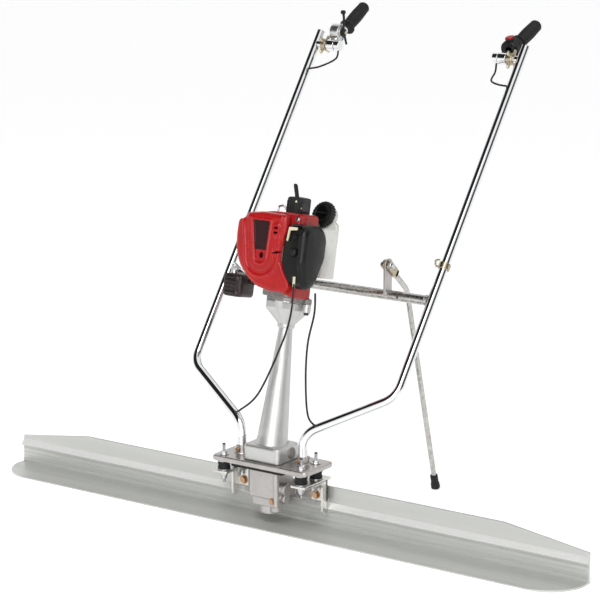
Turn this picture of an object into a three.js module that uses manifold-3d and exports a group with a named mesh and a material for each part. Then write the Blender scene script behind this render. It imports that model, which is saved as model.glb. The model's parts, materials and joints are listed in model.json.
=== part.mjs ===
// Power screed: a vibrating aluminium blade, an exciter, a leaning drive column with a small petrol
// engine, and a pair of bent handles with a fold-down stand.
// Millimetres. X runs along the blade, +Y towards the operator, +Z up.
// The origin is on the floor, on the underside of the blade's sole, below the column.
import * as THREE from "three";
import { mergeVertices } from "three/addons/utils/BufferGeometryUtils.js";
import Module from "manifold-3d";

const wasm = await Module();
wasm.setup();

const GAP = 0.3; // between a piece and the piece it rests on or passes through
const DETAIL = 0.6; // share of the facets asked for that round pieces get

// Blade: one extruded section, y and z of its edges.
const BLADE_LENGTH = 1500;
const SOLE_FRONT = -58;
const SOLE_THICKNESS = 4;
const SOLE_CORNER_RADIUS = 88;
const WEB_FRONT = 41.6;
const WEB_BACK = 47.5;
const LEDGE_FRONT = 34.7;
const FIN_FRONT = 42.5;
const FIN_TOP = 94;
const FIN_END_HEIGHT = 66;
const FIN_TAPER_LENGTH = 197;

// Exciter and its brackets.
const EXCITER_Y = -6.4;
const BRACKET_BOLT_X = 96;
const BRACKET_BOLT_Z = 75;
const BRACKET_TOP = 114;
const BRACKET_OUTER_X = 122;
const SHEET = 6;

// Base plate on four rubber buffers.
const PLATE_HALF_LENGTH = 125;
const PLATE_FRONT = -53;
const PLATE_BACK = 54;
const PLATE_BOTTOM = 135;
const PLATE_TOP = 147;
const BUFFER_X = 102;
const BUFFER_FRONT_Y = -36;
const BUFFER_REAR_Y = 19;
const BUFFER_RADIUS = 14;
const STUD_RADIUS = 4;

// Column: its axis leans back towards the operator from a point above the base plate.
const LEAN = THREE.MathUtils.degToRad(12);
const LEAN_ORIGIN_Z = 180;
const COLUMN_LENGTH = 252;
const COLUMN_FOOT_RADIUS = 33;
const COLUMN_NECK_RADIUS = 15;
const DRIVE_SHAFT_RADIUS = 6;
const JOINT_Z = 150; // where the leaning drive shaft meets the upright eccentric shaft

// Handles.
const TUBE_RADIUS = 10;
const TUBE_WALL = 1.8;
const TUBE_FOOT = { x: 80.3, y: 1.5 };
const TUBE_BEND = { x: 80.3, y: 1.5, z: 214 };
const TUBE_KNEE = { x: 267, y: 75.6, z: 305.7 };
const TUBE_TOP = { x: 274.2, y: 583, z: 997.4 };
const BEND_RADIUS = 50;
const SLEEVE_HEIGHT = 17;
const TUBE_BOLT_Z = 156;
const CROSSBAR_RADIUS = 11;
const CROSSBAR_HEIGHT = 489;
const STUB_RADIUS = 9;
const STUB_INNER_X = 212;
const STUB_HEIGHT = 970;

// Grips: the arm swings about the stub, which is parallel to X.
const ARM_X = 230;
const ARM_LENGTH = 160;
const LEFT_ARM_RISE = THREE.MathUtils.degToRad(30);
const RIGHT_ARM_RISE = THREE.MathUtils.degToRad(23);

// Stand.
const STAND_X = 157;
const STAND_PIVOT_HEIGHT = 554;
const STAND_REACH = 206; // from the pivot back to the foot
const STAND_ROD_RADIUS = 6;

const materials = {
  aluminium: { color: "#c9cdca", roughness: 0.42, metalness: 0.9 },
  castAluminium: { color: "#c4c4c2", roughness: 0.5, metalness: 0.8 },
  zincPlate: { color: "#c7bcb8", roughness: 0.45, metalness: 0.7 },
  chrome: { color: "#d7d9dc", roughness: 0.08, metalness: 1 },
  steel: { color: "#8f9296", roughness: 0.4, metalness: 1 },
  darkSteel: { color: "#3a3a3c", roughness: 0.5, metalness: 0.8 },
  yellowZinc: { color: "#b98a4a", roughness: 0.35, metalness: 0.9 },
  rubber: { color: "#17171a", roughness: 0.85, metalness: 0 },
  redPlastic: { color: "#b3131b", roughness: 0.25, metalness: 0 },
  blackPlastic: { color: "#1b1b1d", roughness: 0.5, metalness: 0 },
  tankPlastic: { color: "#e8e8e2", roughness: 0.4, metalness: 0 },
  muffler: { color: "#3d3431", roughness: 0.7, metalness: 0.4 },
};

const root = new THREE.Group();
root.name = "power_screed";
const leaning = new THREE.Group();
leaning.name = "leaning_column";
leaning.position.set(0, 0, LEAN_ORIGIN_Z);
leaning.rotation.x = -LEAN;
root.add(leaning);
leaning.updateMatrix();

// ---- helpers -------------------------------------------------------------------------------

function solidFrom(positions, faces) {
  return new wasm.Manifold(
    new wasm.Mesh({
      numProp: 3,
      vertProperties: new Float32Array(positions),
      triVerts: new Uint32Array(faces),
    }),
  );
}

// A three.js geometry as a solid, with its faces turned outwards.
function solid(geometry) {
  const bare = geometry.clone();
  bare.deleteAttribute("normal");
  bare.deleteAttribute("uv");
  const merged = mergeVertices(bare, 1e-4);
  const index = merged.index.array;
  const faces = [];
  for (let i = 0; i < index.length; i += 3) {
    const [a, b, c] = [index[i], index[i + 1], index[i + 2]];
    if (a !== b && b !== c && c !== a) {
      faces.push(a, b, c);
    }
  }
  const made = solidFrom(merged.attributes.position.array, faces);
  return made.volume() > 0
    ? made
    : solidFrom(merged.attributes.position.array, faces.reverse());
}

function addNode(name, body, material, parent = root) {
  const mesh = body.getMesh();
  const geometry = new THREE.BufferGeometry();
  geometry.setAttribute(
    "position",
    new THREE.BufferAttribute(mesh.vertProperties, 3),
  );
  geometry.setIndex(new THREE.BufferAttribute(mesh.triVerts, 1));
  geometry.computeVertexNormals();
  const node = new THREE.Mesh(
    geometry,
    new THREE.MeshStandardMaterial(material),
  );
  node.name = name;
  parent.add(node);
}

// The number of sides a round piece gets: even, and never under the six of a hexagon.
function facets(sides) {
  return Math.max(6, 2 * Math.round((sides * DETAIL) / 2));
}

function vector([x, y, z]) {
  return new THREE.Vector3(x, y, z);
}

function block(x0, x1, y0, y1, z0, z1) {
  const geometry = new THREE.BoxGeometry(x1 - x0, y1 - y0, z1 - z0);
  geometry.translate((x0 + x1) / 2, (y0 + y1) / 2, (z0 + z1) / 2);
  return solid(geometry);
}

// Stands a geometry made about the Y axis on a start point, with its axis along a direction.
function aim(geometry, start, direction) {
  const turn = new THREE.Quaternion().setFromUnitVectors(
    new THREE.Vector3(0, 1, 0),
    vector(direction).normalize(),
  );
  return geometry.applyQuaternion(turn).translate(...start);
}

// A round bar between two points; six sides make a hexagon.
function rod(start, end, radius, sides = 20) {
  const along = vector(end).sub(vector(start));
  const length = along.length();
  const geometry = new THREE.CylinderGeometry(radius, radius, length, facets(sides));
  geometry.translate(0, length / 2, 0);
  return solid(aim(geometry, start, along.toArray()));
}

function post(x, y, z0, z1, radius, sides = 20) {
  return rod([x, y, z0], [x, y, z1], radius, sides);
}

// A turned piece: pairs of radius and height, from the axis back to the axis, or round a closed ring.
function turnedGeometry(profile, sides) {
  const points = profile.map(([r, h]) => new THREE.Vector2(r, h));
  const onAxis = profile[0][0] === 0 && profile.at(-1)[0] === 0;
  if (!onAxis) {
    points.push(points[0].clone());
  }
  return new THREE.LatheGeometry(points, facets(sides));
}

function turned(profile, sides = 32, start = [0, 0, 0], direction = [0, 0, 1]) {
  return solid(aim(turnedGeometry(profile, sides), start, direction));
}

function shapeOf(points) {
  return new THREE.Shape(points.map(([x, y]) => new THREE.Vector2(x, y)));
}

function roundedRectangle(x0, x1, y0, y1, radius) {
  const shape = new THREE.Shape();
  shape.moveTo(x0 + radius, y0);
  shape.lineTo(x1 - radius, y0);
  shape.absarc(x1 - radius, y0 + radius, radius, -Math.PI / 2, 0);
  shape.absarc(x1 - radius, y1 - radius, radius, 0, Math.PI / 2);
  shape.absarc(x0 + radius, y1 - radius, radius, Math.PI / 2, Math.PI);
  shape.absarc(x0 + radius, y0 + radius, radius, Math.PI, Math.PI * 1.5);
  return shape;
}

// Directions a flat shape can be extruded in: its own x and y land on the first two axes.
const PLANS = {
  up: new THREE.Matrix4(),
  alongX: new THREE.Matrix4().makeBasis(
    vector([0, 1, 0]),
    vector([0, 0, 1]),
    vector([1, 0, 0]),
  ),
  forwards: new THREE.Matrix4().makeBasis(
    vector([1, 0, 0]),
    vector([0, 0, 1]),
    vector([0, -1, 0]),
  ),
};

// Extrudes a shape between two distances along its plan's third axis, with rounded or chamfered rims.
function slab(shape, plan, from, to, rim = 0, inset = 0, curveSegments = 3) {
  const geometry = new THREE.ExtrudeGeometry(shape, {
    depth: to - from - 2 * rim,
    curveSegments,
    bevelEnabled: rim > 0 || inset > 0,
    bevelThickness: rim,
    bevelSize: rim,
    bevelOffset: -rim - inset,
    bevelSegments: rim > 4 ? 2 : 1,
  });
  geometry.translate(0, 0, from + rim);
  return solid(geometry.applyMatrix4(PLANS[plan]));
}

// A path whose stations, and the directions there, are given instead of being evenly spaced.
class StationPath extends THREE.Curve {
  constructor(stations) {
    super();
    this.stations = stations;
  }
  station(u) {
    return this.stations[Math.round(u * (this.stations.length - 1))];
  }
  getPointAt(u) {
    return this.station(u).point.clone();
  }
  getTangentAt(u) {
    return this.station(u).heading.clone();
  }
}

// Straight runs between corners, with a round bend at each corner.
function bentPath(corners, bendRadius, stepsPerBend = 6) {
  const points = corners.map(vector);
  const headings = points
    .slice(1)
    .map((point, i) => point.clone().sub(points[i]).normalize());
  const stations = [{ point: points[0], heading: headings[0] }];
  for (let i = 1; i < points.length - 1; i++) {
    const before = headings[i - 1];
    const turn = before.angleTo(headings[i]);
    const reach = bendRadius * Math.tan(turn / 2);
    const start = points[i].clone().addScaledVector(before, -reach);
    const axis = before.clone().cross(headings[i]).normalize();
    const centre = axis.clone().cross(before).multiplyScalar(bendRadius);
    centre.add(start);
    for (let k = 0; k <= stepsPerBend; k++) {
      const angle = (turn * k) / stepsPerBend;
      const point = start.clone().sub(centre).applyAxisAngle(axis, angle);
      const heading = before.clone().applyAxisAngle(axis, angle);
      stations.push({ point: point.add(centre), heading });
    }
  }
  stations.push({ point: points.at(-1), heading: headings.at(-1) });
  return new StationPath(stations);
}

function ring(radius, sides) {
  const points = [];
  const count = facets(sides);
  for (let i = 0; i < count; i++) {
    const angle = (2 * Math.PI * i) / count;
    points.push([radius * Math.cos(angle), radius * Math.sin(angle)]);
  }
  return points;
}

function sweep(path, radius, sides, boreRadius = 0) {
  const shape = shapeOf(ring(radius, sides));
  if (boreRadius > 0) {
    shape.holes.push(
      new THREE.Path(ring(boreRadius, sides).map(([x, y]) => new THREE.Vector2(x, y))),
    );
  }
  return solid(
    new THREE.ExtrudeGeometry(shape, {
      steps: path.stations.length - 1,
      extrudePath: path,
      bevelEnabled: false,
    }),
  );
}

function union(first, ...others) {
  return others.reduce((sum, body) => sum.add(body), first);
}

function cut(body, ...tools) {
  return tools.reduce((rest, tool) => rest.subtract(tool), body);
}

// A bolt: hexagon head, shank and nut, along a direction from the face its head rests on.
function bolt(start, direction, grip, radius, head) {
  const along = (distance) =>
    vector(start).addScaledVector(vector(direction).normalize(), distance).toArray();
  return union(
    rod(along(-head.height), along(-GAP), head.radius, 6),
    rod(along(-head.height), along(grip + head.height + 3), radius, 12),
    rod(along(grip + GAP), along(grip + head.height), head.radius, 6),
  );
}

// ---- blade and exciter ---------------------------------------------------------------------

function screedBlade() {
  const half = BLADE_LENGTH / 2;
  const section = shapeOf([
    [SOLE_FRONT, 0],
    [WEB_BACK - 1.5, 0],
    [WEB_BACK, 1.5],
    [WEB_BACK, FIN_TOP - 1],
    [WEB_BACK - 1, FIN_TOP],
    [FIN_FRONT + 1, FIN_TOP],
    [FIN_FRONT, FIN_TOP - 1],
    [FIN_FRONT, 57.5],
    [LEDGE_FRONT + 6.6, 56.2],
    [LEDGE_FRONT, 46],
    [LEDGE_FRONT, 43.8],
    [WEB_FRONT - 0.8, 41.5],
    [WEB_FRONT, 9],
    [WEB_FRONT - 3.6, SOLE_THICKNESS],
    [SOLE_FRONT + 1.5, SOLE_THICKNESS],
    [SOLE_FRONT, SOLE_THICKNESS - 1.5],
  ]);
  const extrusion = slab(section, "alongX", -half, half);
  const plan = new THREE.Shape();
  const turnIn = half - SOLE_CORNER_RADIUS;
  const centreY = SOLE_FRONT + SOLE_CORNER_RADIUS;
  plan.moveTo(half, WEB_BACK + 5);
  plan.lineTo(-half, WEB_BACK + 5);
  plan.absarc(-turnIn, centreY, SOLE_CORNER_RADIUS, Math.PI, Math.PI * 1.5);
  plan.absarc(turnIn, centreY, SOLE_CORNER_RADIUS, -Math.PI / 2, 0);
  const rounded = extrusion.intersect(slab(plan, "up", -1, FIN_TOP + 1, 0, 0, 8));
  const cutters = [1, -1].map((side) =>
    slab(
      shapeOf([
        [side * (half - FIN_TAPER_LENGTH), FIN_TOP],
        [side * (half + 1), FIN_END_HEIGHT],
        [side * (half + 1), FIN_TOP + 10],
        [side * (half - FIN_TAPER_LENGTH), FIN_TOP + 10],
      ]),
      "forwards",
      -60,
      0,
    ),
  );
  const holes = [1, -1].map((side) =>
    rod(
      [side * BRACKET_BOLT_X, 40, BRACKET_BOLT_Z],
      [side * BRACKET_BOLT_X, 50, BRACKET_BOLT_Z],
      STUD_RADIUS + GAP,
      16,
    ),
  );
  return cut(rounded, ...cutters, ...holes);
}

const BRACKET_BACK = LEDGE_FRONT - GAP - 0.1;
const BRACKET_INNER_X = 84;

// One folded plate: a top flange for two buffers, a back tab for the bolt, an outer leg.
function bladeBracket(side) {
  const under = BRACKET_TOP - SHEET;
  const flange = block(
    BRACKET_INNER_X,
    BRACKET_OUTER_X,
    PLATE_FRONT,
    BRACKET_BACK + 16,
    under,
    BRACKET_TOP,
  );
  const tab = block(
    BRACKET_INNER_X,
    BRACKET_OUTER_X,
    BRACKET_BACK - SHEET,
    BRACKET_BACK,
    62,
    BRACKET_TOP,
  );
  const leg = slab(
    shapeOf([
      [BRACKET_BACK, 38],
      [BRACKET_BACK, BRACKET_TOP],
      [PLATE_FRONT + 8, BRACKET_TOP],
      [PLATE_FRONT + 8, under],
      [8, under - 3],
      [16, under - 14],
      [16, 38],
    ]),
    "alongX",
    BRACKET_OUTER_X - SHEET,
    BRACKET_OUTER_X,
  );
  const pierced = cut(
    union(flange, tab, leg),
    rod(
      [BRACKET_BOLT_X, 20, BRACKET_BOLT_Z],
      [BRACKET_BOLT_X, 40, BRACKET_BOLT_Z],
      STUD_RADIUS + GAP,
      16,
    ),
    ...[BUFFER_FRONT_Y, BUFFER_REAR_Y].map((y) =>
      post(BUFFER_X, y, BRACKET_TOP - 20, BRACKET_TOP + 5, STUD_RADIUS + GAP, 16),
    ),
  );
  return side > 0 ? pierced : pierced.mirror([1, 0, 0]);
}

function bracketBolt(side) {
  const face = BRACKET_BACK - SHEET;
  const length = WEB_BACK - face;
  return bolt(
    [side * BRACKET_BOLT_X, face, BRACKET_BOLT_Z],
    [0, 1, 0],
    length,
    STUD_RADIUS,
    { radius: 7.5, height: 5.6 },
  );
}

function exciterHousing() {
  const boxTop = 128;
  const box = slab(roundedRectangle(-39, 37, -35, 33, 8), "up", 48, boxTop, 2);
  const boss = turned([[0, 29], [22, 29], [25, 33], [25, 56], [0, 56]], 28, [0, EXCITER_Y, 0]);
  const earBack = FIN_FRONT - GAP;
  const ears = block(-110, 110, BRACKET_BACK + GAP, earBack, 62, 83);
  const bridge = block(-39, 37, 30, BRACKET_BACK + GAP + 1, 62, 83);
  const bore = turned(
    [
      [0, 37],
      [16.3, 37],
      [16.3, 52],
      [24, 56],
      [24, 108],
      [16.3, 110],
      [16.3, boxTop + 1],
      [0, boxTop + 1],
    ],
    28,
    [0, EXCITER_Y, 0],
  );
  const holes = [1, -1].map((side) =>
    rod(
      [side * BRACKET_BOLT_X, 30, BRACKET_BOLT_Z],
      [side * BRACKET_BOLT_X, 50, BRACKET_BOLT_Z],
      STUD_RADIUS + GAP,
      16,
    ),
  );
  return cut(union(box, boss, ears, bridge), bore, ...holes);
}

function exciterBearing(z0) {
  return turned([[7.8, z0], [16, z0], [16, z0 + 12], [7.8, z0 + 12]], 28, [0, EXCITER_Y, 0]);
}

// Shaft, eccentric weight and the cup that the rubber coupling sits in.
function eccentricShaft() {
  const at = [0, EXCITER_Y, 0];
  const shaft = turned([[0, 39], [7.5, 39], [7.5, 134], [0, 134]], 20, at);
  const cup = turned(
    [[0, 131], [12, 131], [19, 135], [19, 158], [14.5, 158], [14.5, 136], [0, 136]],
    28,
    at,
  );
  const weight = turned([[0, 62], [21, 62], [21, 102], [0, 102]], 28, at);
  const halfWeight = weight.intersect(block(-25, 25, EXCITER_Y - 25, EXCITER_Y + 2, 60, 104));
  return union(shaft, cup, halfWeight);
}

// ---- base plate and column -----------------------------------------------------------------

function buffer(x, y) {
  const z0 = BRACKET_TOP + GAP;
  const z1 = PLATE_BOTTOM - GAP;
  const waist = BUFFER_RADIUS - 1.5;
  const bore = STUD_RADIUS + GAP;
  return turned(
    [[bore, z0], [BUFFER_RADIUS, z0], [waist, (z0 + z1) / 2], [BUFFER_RADIUS, z1], [bore, z1]],
    24,
    [x, y, 0],
  );
}

// A threaded stud with its two nuts, one under the bracket and one over the plate.
function bufferStud(x, y) {
  const underBracket = BRACKET_TOP - SHEET - GAP;
  return union(
    post(x, y, 84, 172, STUD_RADIUS, 12),
    post(x, y, underBracket - 7, underBracket, 8, 6),
    post(x, y, PLATE_TOP + GAP, PLATE_TOP + GAP + 1.6, 10, 20),
    post(x, y, PLATE_TOP + GAP + 1.6, PLATE_TOP + GAP + 8, 8, 6),
  );
}

function basePlate() {
  const shape = roundedRectangle(-PLATE_HALF_LENGTH, PLATE_HALF_LENGTH, PLATE_FRONT, PLATE_BACK, 12);
  const plate = slab(shape, "up", PLATE_BOTTOM, PLATE_TOP, 2);
  const holes = [1, -1].flatMap((side) =>
    [BUFFER_FRONT_Y, BUFFER_REAR_Y].map((y) =>
      post(side * BUFFER_X, y, PLATE_BOTTOM - 1, PLATE_TOP + 1, STUD_RADIUS + GAP, 16),
    ),
  );
  const drilled = cut(plate, ...holes, post(0, EXCITER_Y, PLATE_BOTTOM - 1, PLATE_TOP + 1, 26, 28));
  return [1, -1].reduce((body, side) => {
    const x = side * TUBE_FOOT.x;
    const sleeve = post(x, TUBE_FOOT.y, PLATE_TOP - 1, PLATE_TOP + SLEEVE_HEIGHT, TUBE_RADIUS + 3, 24);
    const top = PLATE_TOP + SLEEVE_HEIGHT + 1;
    const bore = post(x, TUBE_FOOT.y, PLATE_TOP, top, TUBE_RADIUS + 2 * GAP, 30);
    return cut(body.add(sleeve), bore, tubeBoltHole(side));
  }, drilled);
}

function tubeBoltHole(side) {
  const x = side * TUBE_FOOT.x;
  return rod(
    [x, TUBE_FOOT.y - 30, TUBE_BOLT_Z],
    [x, TUBE_FOOT.y + 30, TUBE_BOLT_Z],
    STUD_RADIUS + GAP,
    16,
  );
}

function tubeBolt(side) {
  const reach = TUBE_RADIUS + 3.5;
  return bolt(
    [side * TUBE_FOOT.x, TUBE_FOOT.y - reach, TUBE_BOLT_Z],
    [0, 1, 0],
    2 * reach,
    STUD_RADIUS,
    { radius: 7, height: 5.5 },
  );
}

const SPIGOT_BOTTOM = 239;

// A level foot with a leaning, tapering column on it, hollow for the drive shaft.
function column() {
  const footTop = 181;
  const foot = slab(roundedRectangle(-49, 47, -43, 40, 14), "up", PLATE_TOP + GAP, footTop, 3);
  const coneGeometry = turnedGeometry(
    [
      [0, -14],
      [COLUMN_FOOT_RADIUS + 5, -14],
      [COLUMN_FOOT_RADIUS + 4, 0],
      [COLUMN_FOOT_RADIUS, 8],
      [COLUMN_NECK_RADIUS, COLUMN_LENGTH - 6],
      [COLUMN_NECK_RADIUS, COLUMN_LENGTH],
      [0, COLUMN_LENGTH],
    ],
    36,
  );
  const cone = solid(aim(coneGeometry, [0, 0, 0], [0, 0, 1]).applyMatrix4(leaning.matrix));
  const boreGeometry = turnedGeometry(
    [
      [0, -40],
      [8, -40],
      [8, SPIGOT_BOTTOM - 1],
      [12, SPIGOT_BOTTOM - 1],
      [12, COLUMN_LENGTH + 1],
      [0, COLUMN_LENGTH + 1],
    ],
    24,
  );
  const bore = solid(aim(boreGeometry, [0, 0, 0], [0, 0, 1]).applyMatrix4(leaning.matrix));
  const pocket = post(0, EXCITER_Y, PLATE_TOP - 1, 171, 24, 28);
  const flatBottom = block(-60, 60, -60, 60, 100, PLATE_TOP + GAP);
  return cut(union(foot, cone), flatBottom, pocket, bore);
}

// ---- drive line, along the leaning axis ----------------------------------------------------

const JOINT_ALONG = (JOINT_Z - LEAN_ORIGIN_Z) / Math.cos(LEAN);

function driveShaft() {
  return turned(
    [
      [0, JOINT_ALONG],
      [5, JOINT_ALONG],
      [5, -12],
      [DRIVE_SHAFT_RADIUS, -10],
      [DRIVE_SHAFT_RADIUS, 289],
      [0, 289],
    ],
    20,
  );
}

// A rubber ball end on a sleeve, so it can turn in the cup at the angle between the two shafts.
function flexibleCoupling() {
  const radius = 13.4;
  const profile = [[0, JOINT_ALONG - radius]];
  for (let i = 1; i <= 8; i++) {
    const angle = (i / 8) * THREE.MathUtils.degToRad(140);
    profile.push([radius * Math.sin(angle), JOINT_ALONG - radius * Math.cos(angle)]);
  }
  profile.push([8.6, -13], [5 + GAP, -13], [5 + GAP, JOINT_ALONG - GAP], [0, JOINT_ALONG - GAP]);
  return turned(profile, 24);
}

function driveBearing() {
  const bore = DRIVE_SHAFT_RADIUS + GAP;
  return turned([[bore, 267], [14, 267], [14, 276], [bore, 276]], 24);
}

const HOUSING_TOP = 308;
const HOUSING_BOLT_X = 48;
const FLANGE_RADIUS = 46;
const EAR_RADIUS = 9;

function clutchHousing() {
  const outer = turned(
    [
      [0, SPIGOT_BOTTOM],
      [11.7, SPIGOT_BOTTOM],
      [11.7, COLUMN_LENGTH + GAP],
      [16, COLUMN_LENGTH + GAP],
      [18, 259],
      [39, 284],
      [40, 290],
      [FLANGE_RADIUS, 290],
      [FLANGE_RADIUS, HOUSING_TOP],
      [0, HOUSING_TOP],
    ],
    32,
  );
  const rib = slab(
    shapeOf([[-41, 291], [-41, 284], [-17, 256], [17, 256], [41, 284], [41, 291]]),
    "forwards",
    -2.5,
    2.5,
  );
  const crossRib = rib.rotate([0, 0, 90]);
  const ears = [1, -1].map((side) =>
    post(side * HOUSING_BOLT_X, 0, 290, HOUSING_TOP, EAR_RADIUS, 20),
  );
  const inside = turned(
    [
      [0, SPIGOT_BOTTOM - 1],
      [8, SPIGOT_BOTTOM - 1],
      [8, 266.7],
      [14.3, 266.7],
      [14.3, 276.5],
      [17, 280],
      [32, 286],
      [41, 291],
      [42, HOUSING_TOP + 1],
      [0, HOUSING_TOP + 1],
    ],
    32,
  );
  const holes = [1, -1].map((side) => post(side * HOUSING_BOLT_X, 0, 285, HOUSING_TOP + 1, 3.3, 12));
  return cut(union(outer, rib, crossRib, ...ears), inside, ...holes);
}

function housingBolt(side) {
  const x = side * HOUSING_BOLT_X;
  return union(post(x, 0, 284, 290 - GAP, 5.5, 6), post(x, 0, 285, 317, 3, 12));
}

function clutchDrum() {
  return turned(
    [
      [0, 281],
      [11, 281],
      [11, 292.5],
      [38.5, 292.5],
      [38.5, 315],
      [35, 315],
      [35, 295.5],
      [0, 295.5],
    ],
    32,
  ).subtract(post(0, 0, 279, 289 + GAP, DRIVE_SHAFT_RADIUS + GAP, 20));
}

// A hub and two shoes, split so that they can swing out against the drum.
function clutchRotor() {
  const disc = turned([[6.2, 298], [33, 298], [33, 315], [6.2, 315]], 32);
  const slots = [14, -34].map((x) => block(x, x + 20, -2, 2, 296, 315));
  return cut(disc, ...slots);
}

// ---- engine, in the leaning frame ----------------------------------------------------------

const FAN_COVER_RADIUS = 46;
const RECOIL_RADIUS = 27;
const CRANKCASE_FLANGE_TOP = 318;

function crankshaft() {
  return turned(
    [
      [0, 298],
      [5.9, 298],
      [5.9, 318],
      [10, 318],
      [10, 446],
      [38, 446],
      [38, 468],
      [33, 470],
      [8, 470],
      [8, 476],
      [0, 476],
    ],
    32,
  );
}

function crankcase() {
  const z0 = HOUSING_TOP + GAP;
  const flange = post(0, 0, z0, CRANKCASE_FLANGE_TOP, FLANGE_RADIUS, 32);
  const ears = [1, -1].map((side) =>
    post(side * HOUSING_BOLT_X, 0, z0, CRANKCASE_FLANGE_TOP, EAR_RADIUS, 20),
  );
  const body = slab(roundedRectangle(-44, 28, -46, 32, 10), "up", 316, 432, 2);
  const deck = turned([[0, 430], [FAN_COVER_RADIUS, 430], [FAN_COVER_RADIUS, 440], [0, 440]], 32);
  const cylinder = block(-34, 20, -74, -44, 345, 425);
  const fins = [-50, -57, -64, -71].map((y) => block(-38, 24, y - 1.2, y + 1.2, 347, 428));
  const clutchSpace = post(0, 0, z0 - 1, 325, 42, 32);
  const bore = post(0, 0, 324, 441, 10.4, 20);
  const holes = [1, -1].map((side) =>
    post(side * HOUSING_BOLT_X, 0, z0 - 1, CRANKCASE_FLANGE_TOP + 1, 3.3, 12),
  );
  return cut(union(flange, ...ears, body, deck, cylinder, ...fins), clutchSpace, bore, ...holes);
}

// The shroud's outline seen from the front, clockwise from its lower right corner.
const COVER_OUTLINE = [
  [62, 314],
  [0, 329],
  [-41, 341],
  [-64, 361],
  [-88, 387],
  [-98, 412],
  [-101, 447],
  [-100, 469],
  [-86, 488],
  [-70, 495],
  [-40, 498],
  [49, 498],
  [49, 386],
  [62, 373],
];
const COVER_FRONT = 85;
const COVER_SKIRT_TOP = 373; // below here the shroud reaches further to the right

// Everything inside the shroud's outer faces, drawn in from them by an inset.
function coverEnvelope(inset, rim) {
  const front = slab(shapeOf(COVER_OUTLINE), "forwards", -20, COVER_FRONT - inset, rim, inset);
  const leftSide = [
    [-110, 30],
    [-110, -70],
    [-80, -100],
  ];
  const upperPlan = shapeOf([
    ...leftSide,
    [28 - inset, -100],
    [33 - inset, -78],
    [37 - inset, inset - 53.4],
    [49 - inset, inset - 53.4],
    [49 - inset, 30],
  ]);
  const skirtPlan = shapeOf([
    ...leftSide,
    [50 - inset, -100],
    [50 - inset, -80],
    [62 - inset, -54],
    [62 - inset, 30],
  ]);
  const upper = slab(upperPlan, "up", 300, 500);
  const skirt = slab(skirtPlan, "up", 300, COVER_SKIRT_TOP - inset);
  return front.intersect(upper.add(skirt));
}

function engineCover() {
  const backCut = block(-120, 70, 4, 40, 300, 510);
  const fanSpace = post(0, 0, 428, 484.5, FAN_COVER_RADIUS + 1, 32);
  const recoilSpace = post(0, 0, 480, 510, RECOIL_RADIUS + 6, 32);
  const bodySpace = slab(roundedRectangle(-45, 29, -47, 33, 10), "up", 300, 356);
  const flangeSpace = post(0, 0, 300, CRANKCASE_FLANGE_TOP + 1, FLANGE_RADIUS + 1, 32);
  const earSpace = post(HOUSING_BOLT_X, 0, 300, CRANKCASE_FLANGE_TOP + 1, EAR_RADIUS + 1, 20);
  const intake = block(40, 60, -53, -23, 383, 423);
  const slots = [462, 452].map((z) => block(-4, 10, -90, -70, z - 2, z + 2));
  return cut(
    coverEnvelope(0, 9),
    coverEnvelope(3.5, 6),
    backCut,
    fanSpace,
    recoilSpace,
    bodySpace,
    flangeSpace,
    earSpace,
    intake,
    ...slots,
  );
}

const ROPE_X = 21;
const ROPE_HEIGHT = 509;

function recoilHousing() {
  const z0 = 440 + GAP;
  const shell = turned(
    [
      [0, 526],
      [23, 526],
      [23, 481],
      [42, 478],
      [42, z0],
      [FAN_COVER_RADIUS, z0],
      [FAN_COVER_RADIUS, 480],
      [42, 483.5],
      [RECOIL_RADIUS, 484],
      [RECOIL_RADIUS, 529],
      [RECOIL_RADIUS - 4, 533],
      [0, 533],
    ],
    36,
  );
  const guide = block(12, 30, -35, -12, 499, 520);
  const ropeHole = rod([ROPE_X, 5, ROPE_HEIGHT], [ROPE_X, -40, ROPE_HEIGHT], 3, 12);
  return cut(shell.add(guide), post(0, 0, 470, 526, 22.9, 32), ropeHole);
}

// A slim handle that leans to the left, on the end of its rope.
function starterGrip() {
  const profile = [[0, 0], [4.5, 0], [6.4, 4], [5.2, 30], [5.6, 52], [3, 58], [0, 58]];
  const handle = turned(profile, 20, [28, -50, 502], [-0.25, 0, 1]);
  const rope = rod([ROPE_X, -50, ROPE_HEIGHT], [ROPE_X, 2, ROPE_HEIGHT], 2, 10);
  return handle.add(rope);
}

// A D with its flat side forwards, drawn in towards the bottom.
function airCleanerOutline() {
  const shape = new THREE.Shape();
  shape.moveTo(-88, 392);
  shape.lineTo(-75, 356);
  shape.absarc(-48, 366, 27, Math.PI * 1.2, Math.PI * 1.8);
  shape.lineTo(0, 406);
  shape.absarc(-34, 442, 34, 0, Math.PI / 2);
  shape.absarc(-64, 452, 24, Math.PI / 2, Math.PI);
  return shape;
}

function airCleanerCover() {
  const outline = airCleanerOutline();
  const outer = slab(outline, "alongX", 10, 86, 12);
  const inner = slab(outline, "alongX", 0, 82, 10, 4);
  const innerSide = coverEnvelope(-0.6, 9).add(block(0, 34.4, -100, 10, 320, 490));
  const fanSpace = post(0, 0, 428, 490, FAN_COVER_RADIUS + 1, 32);
  const controlWindow = slab(roundedRectangle(37, 62, 396, 462, 6), "forwards", 70, 100);
  return cut(outer, inner, innerSide, fanSpace, controlWindow);
}

function carburettor() {
  const body = block(28 + GAP, 66, -49, -24, 384, 422);
  const controlPlate = slab(roundedRectangle(41, 61, 398, 460, 4), "forwards", 54, 74);
  const link = block(50, 58, -60, -48, 398, 420);
  const bulbWell = rod([50, -68, 416], [50, -80, 416], 9.9, 24);
  return cut(union(body, controlPlate, link), bulbWell);
}

function chokeLever() {
  return union(
    rod([50, -74 - GAP, 448], [50, -80, 448], 6, 16),
    slab(roundedRectangle(46.5, 53.5, 446, 461, 2), "forwards", 76, 82),
  );
}

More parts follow.
